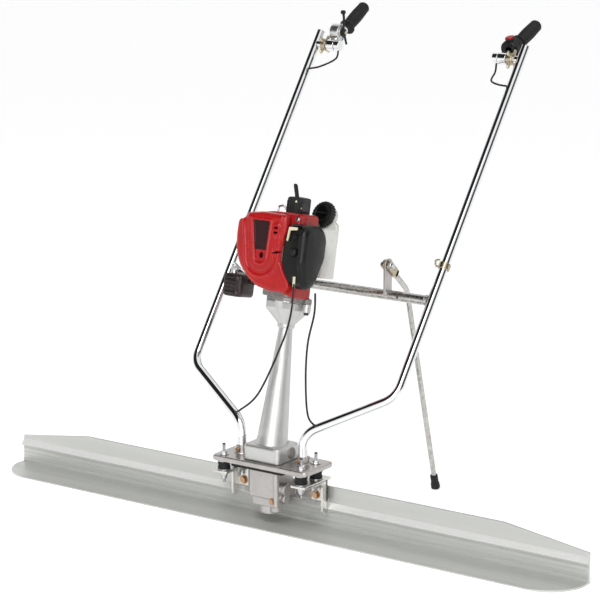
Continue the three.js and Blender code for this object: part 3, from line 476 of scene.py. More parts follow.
bracket_metal = surface("bracket_zinc", (0.66, 0.65, 0.61), 0.3, 0.9, 0.12, 16, 0.25, 0.9,
                        worn=(0.8, 0.8, 0.78))
chrome_metal = surface("chrome", (0.80, 0.81, 0.82), 0.05, 1.0, 0.03, 40, 0.03, 2.0, spread=0.04)
pipe_metal = surface("galvanised_pipe", (0.50, 0.49, 0.47), 0.26, 0.95, 0.25, 9, 0.3, 1.4, spread=0.2)
steel_metal = surface("bright_steel", (0.56, 0.56, 0.57), 0.3, 1.0, 0.12, 10, 0.2, 0.8,
                      worn=(0.8, 0.8, 0.8))
dark_metal = surface("black_oxide", (0.035, 0.035, 0.037), 0.4, 0.6, 0.2, 8, 0.3, 0.7,
                     worn=(0.2, 0.19, 0.18))
copper_metal = surface("copper_zinc", (0.36, 0.19, 0.10), 0.32, 1.0, 0.25, 6, 0.15, 0.8,
                       worn=(0.6, 0.42, 0.28))
pale_zinc = surface("pale_zinc", (0.46, 0.40, 0.29), 0.3, 1.0, 0.3, 5, 0.15, 0.8, worn=(0.74, 0.68, 0.54))
rubber_black = surface("rubber", (0.010, 0.010, 0.011), 0.6, 0.0, 0.25, 10, 0.5, 0.6, spread=0.2,
                       specular=0.3)
red_gloss = surface("red_plastic", (0.42, 0.005, 0.006), 0.26, 0.0, 0.10, 30, 0.08, 3.0,
                    spread=0.1, coat=0.12, specular=0.3)
maroon_gloss = surface("maroon_panel", (0.022, 0.001, 0.003), 0.3, 0.0, 0.2, 12, 0.1, 1.0, specular=0.35)
# Painted shade: near-black for the cover's slots, notch and screw well.
shadow_red = surface("recess_painted_shade", (0.02, 0.002, 0.003), 0.6, 0.0, 0.2, 6, 0.2, 1.0, specular=0.2)
black_moulding = surface("black_plastic", (0.007, 0.008, 0.007), 0.32, 0.0, 0.2, 12, 0.4, 0.9,
                         spread=0.12, specular=0.25)
grey_moulding = surface("grey_plastic", (0.026, 0.027, 0.028), 0.4, 0.0, 0.2, 12, 0.5, 0.9, specular=0.3)
tank_white = surface("tank_plastic", (0.80, 0.80, 0.76), 0.3, 0.0, 0.03, 40, 0.15, 1.5, glow=0.35, coat=0.2)
cream_moulding = surface("cream_plastic", (0.72, 0.66, 0.47), 0.35, 0.0, 0.06, 8, 0.2, 0.8)
burnt_enamel = surface("muffler_enamel", (0.030, 0.024, 0.023), 0.46, 0.4, 0.5, 14, 0.6, 1.4,
                       spread=0.25, worn=(0.16, 0.13, 0.12))
# Painted shade: a darker copy of the cast aluminium, for the crankcase and the column's side disc, which sit
# in shadow.
painted_shade_cast = surface("shaded_casting", (0.26, 0.25, 0.24), 0.45, 0.6, 0.2, 12, 0.3, 1.0)
cable_black = surface("cable_sheath", (0.010, 0.010, 0.011), 0.4, 0.0, 0.2, 8, 0.2, 0.5, specular=0.3)


# ---- blade and exciter ----

BLADE_HALF = 750
SOLE_FRONT = -58
CORNER_RADIUS = 88
FIN_TOP = 94
FIN_END_HEIGHT = 66
FIN_TAPER = 197
FIN_FRONT, FIN_BACK = 42.5, 47.5
SOLE_TOP = 4
UNDERCUT = (45, 59)


def ribbed(a, b, count, depth, share=0.5):
    """Points from a to b with evenly spaced shallow grooves to one side of the line."""
    a, b = Vector(a), Vector(b)
    along = b - a
    inward = Vector((-along.y, along.x)).normalized() * depth
    points = [a]
    for i in range(count):
        middle = (i + 0.5) / count
        half = share / count / 2
        for at, in_share in ((-half, 0), (-half * 0.5, 1), (half * 0.5, 1), (half, 0)):
            points.append(a + along * (middle + at) + inward * in_share)
    points.append(b)
    return points


def blade_section():
    section = [(SOLE_FRONT, 0.6), (SOLE_FRONT + 0.6, 0), (46, 0), (FIN_BACK, 1.5), (FIN_BACK, 93)]
    section += [(46.8, FIN_TOP), (43.2, FIN_TOP), (FIN_FRONT, 93.3), (FIN_FRONT, 58), (41.3, 56.2)]
    section += ribbed((41.0, 55.6), (35.0, 46.6), 3, -0.7)
    section += [(34.7, 45.6), (34.7, 44), (35.4, 43.4), (40.8, 41.6)]
    section += ribbed((41.6, 40.4), (41.6, 13), 3, -0.6, 0.3)
    section += [(40.2, 11.4), (39.8, 9.4), (40.4, 7.6), (39.6, 5.4), (37.6, SOLE_TOP)]
    section += [(6, SOLE_TOP), (5, 4.5), (3, 4.5), (2, SOLE_TOP)]
    section += [(SOLE_FRONT + 0.8, SOLE_TOP), (SOLE_FRONT, 3.2)]
    return section


def blade_stations():
    """Even steps along the middle, close ones round the front corners."""
    turn = BLADE_HALF - CORNER_RADIUS
    corner = [turn + CORNER_RADIUS * sin(pi / 2 * k / 20) for k in range(21)]
    middle = [BLADE_HALF - FIN_TAPER, 420, 280, 140, 0]
    right = sorted(middle + corner)
    return [-x for x in reversed(right)] + right[1:]


def screed_blade():
    section = blade_section()
    rings = []
    for x in blade_stations():
        beyond = max(0.0, abs(x) - (BLADE_HALF - CORNER_RADIUS))
        sag = CORNER_RADIUS - sqrt(max(0.0, CORNER_RADIUS**2 - beyond**2))
        front = SOLE_FRONT + sag
        taper = max(0.0, (abs(x) - (BLADE_HALF - FIN_TAPER)) / FIN_TAPER)
        top = FIN_TOP - taper * (FIN_TOP - FIN_END_HEIGHT)
        rings.append([(x, max(y, front), min(z, top)) for y, z in section])
    form = Form().rings(rings)
    # Faces of the ledge's underside, between the UNDERCUT heights, take the painted highlight colour.
    for i, face in enumerate(form.faces):
        heights = [form.points[k].z for k in face]
        if len(face) == 4 and UNDERCUT[0] < min(heights) and max(heights) < UNDERCUT[1]:
            form.paints[i] = 1
    show("screed_blade", "blade", form, [blade_metal, ledge_highlight], sharp=25)


BRACKET_BACK = 34.3
BUFFER_X = 102
BUFFER_YS = {"front": -36, "rear": 19}
PLATE_TOP = 147


def blade_bracket(word, side):
    """Folded plate: flange under two buffers, tab on the blade, narrow leg at the end."""
    flange = prism(rectangle(84, 122, -53, 50, 5), UP, 108.5, 114)
    tab = block(84, 122, BRACKET_BACK - 6, BRACKET_BACK, 62, 112)
    side_view = [(BRACKET_BACK, 38), (BRACKET_BACK, 112), (-45, 112)]
    side_view += [(-45, 108), (8, 105), (16, 99), (16, 38)]
    leg = prism(fillet(side_view, 5, True), ALONG_X, 116, 122)
    form = join(flange, tab, leg)
    if side < 0:
        form.moved(Matrix.Scale(-1, 4, (1, 0, 0)))
    show(word + "_blade_bracket", word + "_bracket", form, [bracket_metal], bevel=0.9)


def bracket_bolt(word, side):
    x = side * 96
    face = BRACKET_BACK - 6
    form = join(
        hexagon((x, face - 1.6, 75), (0, -1, 0), 7.5, 5),
        washer((x, face, 75), (0, -1, 0), 10, 4.2, 1.6),
        rod((x, face - 4, 75), (x, 62, 75), 4, rim=0.5),
        hexagon((x, 48, 75), (0, 1, 0), 7.5, 5.5),
    )
    show(word + "_bracket_bolt", word + "_blade_bolt", form, [copper_metal])


def exciter():
    """Cast box with a bearing boss below, ears to the blade and a round port on its right."""
    y = -6.4
    form = join(
        prism(rectangle(-39, 37, -35, 33, 9), UP, 66, 128),
        prism(rectangle(-33, 31, -33, 30, 9), UP, 48, 70),
        rod((0, y, 29), (0, y, 60), 24, rim=2),
        block(-108, 108, 34.9, 42, 63, 82),
        block(-38, 36, 26, 40, 63, 82),
        rod((34, -14, 88), (51, -14, 88), 14, rim=2),
        rod((34, -14, 66), (49, -14, 66), 10, rim=2),
        rod((33, -31, 50), (33, -31, 126), 6.5, rim=1.5),
        rod((24, -18, 36), (24, -18, 64), 13, rim=2),
    )
    # The casting takes the darker exciter colour: painted shade.
    stand_for(cast("exciter_casting", form, exciter_painted_shade, 0.9, 3), "exciter_housing")
    plug = join(hexagon((24, -34.6, 62), (0, -1, 0), 6, 4), washer((24, -33.8, 62), (0, -1, 0), 7.5, 3, 1.4))
    detail("exciter_housing", "yellow_zinc", "exciter_plug", plug, [copper_metal])


def buffer(word, side, end):
    name = end + "_" + word
    x, y = side * BUFFER_X, BUFFER_YS[end]
    waist = [(4.3, 116), (13.5, 116), (14.2, 119), (12.4, 124.5), (14.2, 130), (13.5, 133), (4.3, 133)]
    profile = fillet(waist, 1.6, True)
    show(name + "_buffer", name + "_rubber", lathe(profile, (x, y, 0)), [rubber_black])
    plates = join(*(washer((x, y, z), (0, 0, 1), 14.5, 4.3, 1.5) for z in (114.3, 133.1)))
    detail(name + "_buffer", "steel", name + "_buffer_plates", plates, [steel_metal])
    stud = join(
        thread(x, y, 84, 171, 3.4),
        rod((x, y, 169), (x, y, 172), 3.4, paint=1),
        lathe(fillet([(0, 92), (5, 92), (8.6, 101), (10, 107.8), (0, 107.8)], 1, steps=3), (x, y, 0)),
        washer((x, y, PLATE_TOP + 0.3), (0, 0, 1), 10, 4.2, 1.6),
        hexagon((x, y, PLATE_TOP + 2), (0, 0, 1), 7, 6),
    )
    show(name + "_stud", name + "_threaded_stud", stud, [steel_metal, dark_metal])


# ---- base plate and column ----


def base_plate():
    outline = rectangle(-125, 125, -53, 54, 13)
    form = pillow(outline, UP, 141, 147, 4.5)
    under = pillow(outline, UP, -141, -135, 4.5).moved(Matrix.Scale(-1, 4, (0, 0, 1)))
    sleeve = fillet([(10.4, 146), (13.4, 146), (13, 163), (10.4, 164)], 0.8, True, 3)
    flange = fillet([(10.4, 146.5), (19, 146.5), (17, 150.4), (10.4, 150.8)], 1.2, True, 3)
    for x in (TUBE_X, -TUBE_X):
        form.join(lathe(sleeve, (x, TUBE_Y, 0))).join(lathe(flange, (x, TUBE_Y, 0)))
    show("base_plate", "mounting_plate", join(form, under), [zinc_metal], sharp=50)
    # Black strip in the gap between plate and exciter: partly a rubber seal, partly painted shade for the
    # dark gap.
    gasket_and_shade = prism(rectangle(-76, 62, -50, 30, 8), UP, 129, 134.6)
    detail("base_plate", "rubber", "plate_gasket_and_shade", gasket_and_shade, [rubber_black], bevel=1)


def tube_bolt(word, side):
    x = side * TUBE_X
    form = join(
        hexagon((x, -12.6, 156), (0, -1, 0), 5.6, 4),
        rod((x, -14, 156), (x, 24, 156), 3.2),
        hexagon((x, 15.6, 156), (0, 1, 0), 5.6, 4),
    )
    show(word + "_tube_bolt", word + "_base_bolt", form, [copper_metal])


def column_casting():
    foot = pillow(rectangle(-49, 47, -43, 40, 15), UP, 147.6, 182, 6, 0.5)
    profile = [(0, -26), (38, -26), (36, -4), (34, 8), (33, 14), (15.6, 240), (15, 252), (0, 252)]
    cone = lathe(profile, sides=72)
    corner_post = rod((39, -35, 146), (39, -35, 182), 8, rim=2)
    form = join(foot, lean(cone), corner_post)
    item = cast("column_casting", form, cast_metal, 1.15, 5, block(-70, 70, -70, 70, 120, 147.4))
    stand_for(item, "column")
    # A raised disc on the column's right side in the shaded casting colour: painted shade where the casting
    # is in shadow.
    disc = fillet([(0, 0), (13, 0), (13, 3), (10, 5), (4, 5), (0, 4)], 1, steps=3)
    shade_disc = lathe(disc, (46, 6, 164), (1, 0, 0))
    detail("column", "dark_steel", "column_side_shade_disc", shade_disc, [painted_shade_cast], sharp=45)


# ---- clutch housing and engine, in the leaning frame ----


def clutch_housing():
    """Square flange over a ribbed funnel that narrows to the column's neck."""
    half = 37
    levels = [(16, 252, 16), (17, 258, 16), (22, 267, 14), (29, 279, 12), (35, 288, 10)]
    levels += [(half, 292, 9), (half, 307, 9)]
    rings = [[(p[0], p[1], z) for p in rectangle(-h, h, -h, h, min(r, 0.98 * h))] for h, z, r in levels]
    form = Form().rings(rings)
    for turn in range(8):
        reach = 49 if turn % 2 else half + 1
        rib = prism([(14, 255), (reach, 290), (reach, 297), (14, 297)], FORWARDS, -2, 2)
        form.join(rib.moved(Matrix.Rotation(pi / 4 * turn, 4, "Z")))
    for side in (1, -1):
        form.join(rod((side * 48, 0, 289), (side * 48, 0, 307.6), 9, rim=1))
    form.join(rod((0, 0, 250.5), (0, 0, 262), 19, rim=2))
    item = cast("clutch_casting", lean(form), cast_metal, 0.9, 2)
    stand_for(item, "clutch_housing")
    for word, side in SIDES:
        x = side * 48
        bolt = join(
            hexagon((x, 0, 288.6), (0, 0, -1), 6, 5),
            rod((x, 0, 286), (x, 0, 316), 3),
            washer((x, 0, 289), (0, 0, -1), 7.5, 3, 1.2),
        )
        show(word + "_housing_bolt", word + "_flange_bolt", lean(bolt), [dark_metal])


def ease(value):
    """0 below 0, 1 above 1 and a smooth rise between."""
    t = min(1.0, max(0.0, value))
    return t * t * (3 - 2 * t)


PANEL_TOP = 474
PANEL_TIP = 398


def panel_distance(x, z):
    """How far a point of the cover's front is outside its tapering centre panel, below 0 inside."""
    share = min(1.0, max(0.0, (PANEL_TOP - z) / (PANEL_TOP - PANEL_TIP)))
    middle = -37 + 6 * share
    half = 22 - 9 * share
    across = abs(x - middle) - half
    if z > PANEL_TOP:
        return max(across, z - PANEL_TOP)
    if z < PANEL_TIP:
        return hypot(x - middle, z - PANEL_TIP) - half
    return across


def in_slot(x, z):
    return abs(x - 3) < 4.5 and min(abs(z - 462), abs(z - 452)) < 2.0


def in_notch(x, z):
    return abs(x - 9) < 11 and abs(z - 411 - 0.25 * (x - 9)) < 2.4 * (1 - abs(x - 9) / 12)


def in_screw_well(x, z):
    return hypot(x + 29.5, (z - 401) * 0.8) < 5


def cover_relief(x, z):
    """How far the cover's front stands out, or in where it is below 0, at a point of its outline."""
    out = 2.0 - 5.0 * ((x + 30) / 75) ** 2 - 3.0 * max(0.0, (400 - z) / 80) ** 2
    d = panel_distance(x, z)
    out += 1.8 * exp(-(((d - 3) / 2.2) ** 2)) - 2.6 * (1 - ease(d / 1.6 + 1))
    below = ease((430 - z) / 30)
    out -= 2.6 * ease((d - 15) / 3.5) * max(below, ease((-45 - x) / 8))
    out += 2.2 * ease((d - 24) / 4) * max(below, ease((-60 - x) / 6)) - 2.4 * ease((d - 31) / 3)
    oval = hypot((x - 3) / 9, (z - 457) / 17)
    out += 2.6 * (1 - ease((oval - 0.75) / 0.35))
    out -= 2.4 * exp(-(((x - 15) / 1.8) ** 2)) * ease((z - 428) / 8)
    if in_slot(x, z) or in_screw_well(x, z):
        out -= 4.5
    if in_notch(x, z):
        out -= 5
    return out


COVER_OUTLINE = [
    (24, 492), (26, 462), (20, 440), (19, 394), (28, 372), (42, 351), (44, 337), (34, 329), (-4, 327),
    (-38, 334), (-64, 350), (-89, 377), (-102, 408), (-105, 440), (-104, 466), (-101, 472), (-87, 476),
    (-81, 488), (-40, 494),
]


def front_cowl():
    """A shell whose front is drawn in towards its middle ring by ring and follows the relief."""
    outline = fillet(COVER_OUTLINE, 9, True, 5)
    dense = []
    for a, b in zip(outline, outline[1:] + outline[:1]):
        count = max(1, round((b - a).length / 1.6))
        dense += [a + (b - a) * k / count for k in range(count)]
    centre = Vector((-28, 410))
    rim = 10
    rings = [[placed(FORWARDS, p, d) for p in dense] for d in (-3, 30, 55)]
    front = 82
    for k in range(9):
        angle = pi / 2 * k / 8
        ring = []
        for p in dense:
            inward = (centre - p).normalized() * rim * (1 - cos(angle))
            at = p + inward
            relief = cover_relief(at.x, at.y) * sin(angle)
            ring.append(placed(FORWARDS, at, front - rim + rim * sin(angle) + relief))
        rings.append(ring)
    edge = [p + (centre - p).normalized() * rim for p in dense]
    for k in range(1, 64):
        share = 1 - k / 64
        ring = []
        for p in edge:
            at = centre + (p - centre) * share
            ring.append(placed(FORWARDS, at, front + cover_relief(at.x, at.y)))
        rings.append(ring)
    form = Form().rings(rings)
    for i, face in enumerate(form.faces):
        at = sum((form.points[k] for k in face), Vector()) / len(face)
        if at.y > -60:
            continue
        # Slots, notch and screw well take painted shade; the panel above 412 takes the maroon panel colour.
        if in_slot(at.x, at.z) or in_notch(at.x, at.z) or in_screw_well(at.x, at.z):
            form.paints[i] = 2
        elif panel_distance(at.x, at.z) < -0.2 and at.z > 412:
            form.paints[i] = 1
    return form


def engine_cover():
    """The styled front shell, a plainer fan cowl behind it, and a screw."""
    show("engine_cover", "front_cowl", lean(front_cowl()), [red_gloss, maroon_gloss, shadow_red], sharp=50)
    side = [(49, 330), (49, 497.5), (-40, 497), (-84, 488), (-96, 460), (-94, 412), (-60, 362), (-36, 344)]
    cowl = pillow(fillet(side, 12, True, 6), FORWARDS, -3, 49, 7, 1)
    shelf = [(36, 440), (46, 452), (46, 494), (10, 496), (10, 440)]
    step = pillow(fillet(shelf, 6, True, 5), FORWARDS, 40, 62, 6, 1)
    lip = pillow(fillet([(0, 330), (51, 317), (51, 368), (20, 372)], 5, True, 5), FORWARDS, 0, 60, 5, 0.5)
    detail("engine_cover", "red_plastic", "fan_cowl", lean(join(cowl, step, lip)), [red_gloss], sharp=50)
    facing = (0, -1, 0.2)
    screws = join(hexagon((38, -60, 486), facing, 4.2, 3.4), washer((38, -59.4, 486), facing, 6, 2, 1.5))
    detail("engine_cover", "steel", "cowl_screw", lean(screws), [steel_metal])


def recoil():
    """Squarish starter housing with a rope guide boss, over a ring that sits on the fan."""
    skirt = fillet([(42, 441), (46, 441), (46, 479), (42, 483), (30, 484), (30, 479)], 1, True, 3)
    form = join(
        lathe(skirt, sides=72),
        pillow(rectangle(-24, 16, -20, 20, 8), UP, 481, 533, 5, 1.5),
        prism(rectangle(11, 29, 499.5, 519, 5), FORWARDS, 10, 34),
    )
    ridges = Form()
    for k in range(3):
        ridges.join(prism(rectangle(-21 + k * 6, -18 + k * 6, 496, 524, 1.2), FORWARDS, 16, 21.4))
    show("recoil_housing", "starter_housing", lean(join(form, ridges)), [grey_moulding], sharp=45)
    hook = bent([(-41, -22, 494), (-40, -22, 508), (-28, -22, 511), (-22, -18, 503)], 4, 6)
    detail("recoil_housing", "steel", "cowl_hook", lean(sweep(hook, 2.2)), [steel_metal])


def starter_grip():
    rings = []
    levels = [(0, 2.6, 4), (2, 4.2, 5.6), (9, 4.6, 6.2), (26, 3.9, 5.4), (44, 4.1, 5.6), (54, 4.2, 5.4)]
    levels += [(57, 3, 3.6), (58, 1.2, 1.6)]
    for height, half_x, half_y in levels:
        x = 32 - 17 * height / 58
        rings.append([(x + half_x * c, -50 + half_y * s, 502 + height) for c, s in circle(28)])
    show("starter_grip", "pull_handle", lean(Form().rings(rings)), [rubber_black], sharp=60)
    rope = rod((29, -47, 509), (21, -8, 509), 1.8)
    detail("starter_grip", "cream_plastic", "starter_rope", lean(rope), [cream_moulding])
    knot = lathe(fillet([(0, 0), (2.4, 0), (2.4, 3), (0, 3)], 1.2), (26, -53.5, 522), (0, -1, 0.2), 20)
    detail("starter_grip", "cream_plastic", "rope_knot", lean(knot), [cream_moulding])


def cleaner_outline():
    outline = [(-88, 392), (-75, 356)]
    outline += arc(-48, 366, 27, 1.2 * pi, 1.8 * pi, 14)
    outline += [(0, 406)]
    outline += arc(-34, 442, 34, 0, pi / 2, 14)
    outline += arc(-64, 452, 24, pi / 2, pi, 12)
    return fillet(outline, 6, True, 2)


PRIMER_X, PRIMER_Z = 50, 416


def bulb_space():
    """Room for the primer bulb to be pressed in."""
    return lean(rod((PRIMER_X, -68, PRIMER_Z), (PRIMER_X, -100, PRIMER_Z), 9.7, 40))


def air_cleaner():
    """D-shaped cover with a soft rim, and a window on its left for the controls."""
    body = pillow(cleaner_outline(), ALONG_X, 34.8, 86, 14, 2.5, 10)
    item = make("air_cleaner_lid", lean(body), [black_moulding], sharp=50)
    carve(item, lean(prism(rectangle(24, 68, 340, 472, 8), FORWARDS, 71, 100)))
    carve(item, bulb_space())
    stand_for(item, "air_cleaner_cover")


def carburettor():
    """Intake body, a control plate with a raised panel, and the cream adjuster of the throttle cable."""
    body = join(block(28.4, 66, -49, -24, 384, 422), block(50, 58, -60, -48, 398, 420),
                prism(rectangle(14, 66, 352, 468, 9), FORWARDS, 52, 73),
                prism(rectangle(40, 62, 400, 456, 9), FORWARDS, 70, 75))
    rim = fillet([(9.9, 0), (12.5, 0), (12.5, 1.2), (9.9, 1.2)], 0.4, True, 3)
    collar = lathe(rim, (PRIMER_X, -74.4, PRIMER_Z), (0, -1, 0))
    item = make("carburettor_body", lean(join(body, collar)), [black_moulding], bevel=0.8)
    carve(item, bulb_space())
    stand_for(item, "carburettor")
    adjuster = rod((69.3, -93, 366), (70.8, -93, 344), 2.8)
    detail("carburettor", "cream_plastic", "cable_adjuster", lean(adjuster), [cream_moulding])
    lever = [(29, 438), (33, 438), (36, 461), (54, 463), (54, 469), (32, 468)]
    plate = prism(fillet(lever, 2, True, 4), FORWARDS, 76, 80)
    pivot = rod((50, -74.5, 448), (50, -78, 448), 4, paint=1)
    show("choke_lever", "choke_tab", lean(join(pivot, plate)), [cream_moulding, black_moulding], bevel=0.6)
    dome = fillet([(0, 0), (9, 0), (9, 3), (7.8, 6.5), (4.5, 9), (0, 10)], 1.6, steps=4)
    bulb = lathe(dome, (PRIMER_X, -74.6, PRIMER_Z), (0, -1, 0))
    show("primer_bulb", "priming_bulb", lean(bulb), [rubber_black], sharp=60)


FILLER_BASE = (22, 88, 494)
FILLER_DIRECTION = (-0.1, -0.95, 0.3)


def fuel_tank():
    """Moulded tank round the fan, with a shoulder that turns the filler towards the front."""
    form = join(
        pillow(rectangle(-62, 57, 34.4, 88, 22), UP, 364, 489.5, 14, 0.5, 8),
        lathe([(0, 0), (20, 0), (23, 3), (23, 12), (20, 14), (0, 14)], FILLER_BASE, FILLER_DIRECTION),
    )
    cap_space = lathe([(0, 17), (30.5, 17), (30.5, 60), (0, 60)], FILLER_BASE, FILLER_DIRECTION)
    cutter = join(rod((0, 0, 424), (0, 0, 500), 47.4, 64), cap_space, block(-15, 75, 20, 62, 470, 530))
    item = cast("tank_moulding", lean(form), tank_white, 1.2, 8, lean(cutter))
    stand_for(item, "fuel_tank")


def fuel_cap():
    aimed = (FILLER_BASE, FILLER_DIRECTION)
    skirt = lathe(fillet([(0, 18), (27, 18), (29, 20), (29, 30), (26.5, 33), (0, 33)], 1.2, steps=3),
                  *aimed, 192, lobes=24, depth=1.6)
    dome = lathe(fillet([(0, 31), (23, 31), (22, 34.4), (18, 34.4), (17, 33), (0, 33)], 1, steps=3), *aimed)
    axis = Vector(FILLER_DIRECTION).normalized()
    across = axis.cross(Vector((0, 0, 1))).normalized()
    middle = Vector(FILLER_BASE) + axis * 33.4
    bar = rod(middle - across * 16, middle + across * 16, 2.4, rim=1.4)
    show("fuel_cap", "filler_cap", lean(join(skirt, dome, bar)), [black_moulding], sharp=50)


def muffler():
    """Pressed steel box with louvres, a bent outlet and its guard."""
    body = pillow(rectangle(-150, -100, 302, 352, 10), FORWARDS, -6, 45, 8, 2)
    form = join(body, rod((-104, -10, 338), (-44.4, -10, 338), 6))
    for k in range(5):
        form.join(rod((-143, -45.2, 311 + k * 8), (-116, -45.2, 311 + k * 8), 2, rim=1))
    for z in (312, 343):
        form.join(hexagon((-108, -44.4, z), (0, -1, 0), 4, 2.4))
    show("muffler", "muffler_shell", lean(form), [burnt_enamel], sharp=45)
    outlet = join(
        rod((-136, -22, 350), (-136, -22, 371), 8, rim=2),
        rod((-136, -22, 366), (-122, -34, 360), 5, rim=2),
    )
    detail("muffler", "steel", "muffler_outlet", lean(outlet), [steel_metal], sharp=45)
    guard = bent([(-94, -30, 352), (-112, -34, 364), (-134, -30, 376), (-149, -14, 350)], 8, 6)
    detail("muffler", "chrome", "muffler_guard", lean(sweep(guard, 2)), [chrome_metal])


# ---- handles ----


def tube_at(side, height, run=2):
    """The middle of a handle tube at a height, on its upper run or, as run 1, its lower one."""
    a, b = Vector(TUBE_CORNERS[run]), Vector(TUBE_CORNERS[run + 1])
    point = a + (b - a) * (height - a.z) / (b.z - a.z)
    return Vector((side * point.x, point.y, point.z))


STUB_Y = tube_at(1, STUB_HEIGHT).y


def on_stub(side, reach):
    return Vector((side * reach, STUB_Y, STUB_HEIGHT))


def handle_tube(word, side):
    corners = [(side * x, y, z) for x, y, z in TUBE_CORNERS]
    tube = sweep(bent(corners, 50, 16), 10, 40)
    end = Vector(corners[-1])
    heading = (end - Vector(corners[-2])).normalized()
    stub = rod(on_stub(side, 272), on_stub(side, 212), 9, 36, 1)
    socket = rod(on_stub(side, 219), on_stub(side, 206), 12.5, 36, 1)
    form = join(tube, stub, socket)
    form.join(lathe(fillet([(0, -1), (8.6, -1), (8.6, 0.4), (0, 1.2)], 0.6, steps=3), end, heading, paint=1))
    show(word + "_handle_tube", word + "_tube", form, [chrome_metal, rubber_black], sharp=45)


def crossbar():
    centre = tube_at(1, 489)
    y, z = centre.y, centre.z
    form = rod((-(centre.x - 9), y, z), (centre.x - 9, y, z), 11, 44, 0.4)
    weld = fillet([(10.6, 0), (12.4, 0.6), (12, 3), (10.6, 4)], 0.8, True, 3)
    for side in (1, -1):
        form.join(lathe(weld, (side * (centre.x - 12), y, z), (-side, 0, 0)))
    show("crossbar", "cross_tube", form, [pipe_metal], sharp=45)
    post = prism(rectangle(y - 13, y + 13, z - 4, 568, 9), ALONG_X, 154, 160)
    detail("crossbar", "zinc_plate", "stand_post", post, [zinc_metal], bevel=0.8)
    screws = join(*(rod((x, y - 11.4, z), (x, y - 9, z), 3.2) for x in (188, -150)))
    detail("crossbar", "dark_steel", "cross_tube_screws", screws, [dark_metal])


def on_arm(side, distance, lift=0.0, shift=0.0):
    """A point along the bar of a grip arm, raised off it and moved sideways."""
    rise = RISE[side]
    y = STUB_Y + distance * cos(rise) - lift * sin(rise)
    z = STUB_HEIGHT + distance * sin(rise) + lift * cos(rise)
    return Vector((side * ARM_X + shift, y, z))


def arm_heading(side):
    return Vector((0, cos(RISE[side]), sin(RISE[side])))


def grip_arm(word, side):
    hub = rod(on_stub(side, 220), on_stub(side, 240), 13.5, 40, 1.4)
    bar = rod(on_arm(side, 6), on_arm(side, 152), 8.5, 36)
    show(word + "_grip_arm", word + "_arm_bar", join(hub, bar), [chrome_metal], sharp=45)


def grip(word, side):
    """Rubber sleeve with a hand stop, raised bands and a rounded end."""
    profile = [(0, 0), (16, 0), (19, 1.5), (19, 5), (15.6, 8), (14.2, 11)]
    for k in range(11):
        start = 13 + k * 6
        swell = 1.1 * sin(pi * k / 10)
        profile += [(13.2 + swell, start), (14.4 + swell, start + 1.2)]
        profile += [(14.4 + swell, start + 3.6), (13.2 + swell, start + 4.8)]
    profile += [(13.6, 81), (14.3, 82.5), (14.3, 84.5), (11, 89.4), (0, 90)]
    form = lathe(fillet(profile, 0.8, steps=2), on_arm(side, 70), arm_heading(side), 72)
    show(word + "_grip", word + "_rubber_grip", form, [rubber_black], sharp=60)


def wing_nut(word, side):
    """A hub with four wings that thicken towards their ends."""
    hub = fillet([(9.4, 0), (15, 0), (13.4, 14), (9.4, 15)], 1.4, True, 3)
    form = lathe(hub, on_stub(side, 242), (side, 0, 0), 48)
    middle = on_stub(side, 250)
    levels = [(10, 4.5, 4.4), (15, 4.4, 3.6), (20, 5.4, 3.4), (24, 4.6, 3), (25.6, 2, 1.4)]
    for k in range(4):
        angle = pi / 4 + pi / 2 * k
        outward = Vector((0, cos(angle), sin(angle)))
        across = Vector((0, -sin(angle), cos(angle)))
        rings = []
        for distance, wide, thick in levels:
            centre = middle + outward * distance
            rings.append([centre + across * wide * c + Vector((thick * s, 0, 0)) for c, s in circle(16)])
        form.join(Form().rings(rings))
    show(word + "_wing_nut", word + "_clamp_nut", form, [pale_zinc], sharp=55)


def throttle():
    """Round body clamped on the left arm, with its screw, and the lever beside it."""
    centre = on_arm(-1, 35, 12)
    right = centre + X_AXIS * 12
    body = join(
        rod(on_arm(-1, 24), on_arm(-1, 44), 13, 40, 1.4),
        rod(centre - X_AXIS * 11, right, 20, 56, 2),
        rod(right, right + X_AXIS * 2, 14, 40, 1),
        rod(on_arm(-1, 30, -8), on_arm(-1, 30, -19), 4),
        rod(right, right + X_AXIS * 9, 3),
    )
    show("throttle_body", "throttle_housing", body, [machined], sharp=45)
    screw = hexagon(right + X_AXIS * 8.6, X_AXIS, 4.6, 2.6)
    detail("throttle_body", "yellow_zinc", "throttle_screw", screw, [pale_zinc])

    hub = fillet([(3.4, 0), (9, 0), (9, 5.6), (3.4, 5.6)], 0.8, True, 3)
    form = lathe(hub, right + X_AXIS * 2.4, X_AXIS)
    reach = [(0, 6), (10, 16), (18, 30), (22, 42)]
    line = smooth_path([on_arm(-1, 35 + a, 12 + b, 16.5) for a, b in reach], 6)
    form.join(sweep(line, 3, 20))
    form.join(lathe(fillet([(0, -5), (5, -5), (5, 5), (0, 5)], 3, steps=4), line[-1][0], (1, 0, 0), 28))
    drop = [(0, -6), (-2, -18), (-4, -30)]
    tail = smooth_path([on_arm(-1, 35 + a, 12 + b, 16.5) for a, b in drop], 6)
    form.join(sweep(tail, 2.6, 20))
    show("throttle_lever", "throttle_arm", form, [black_moulding], sharp=45)


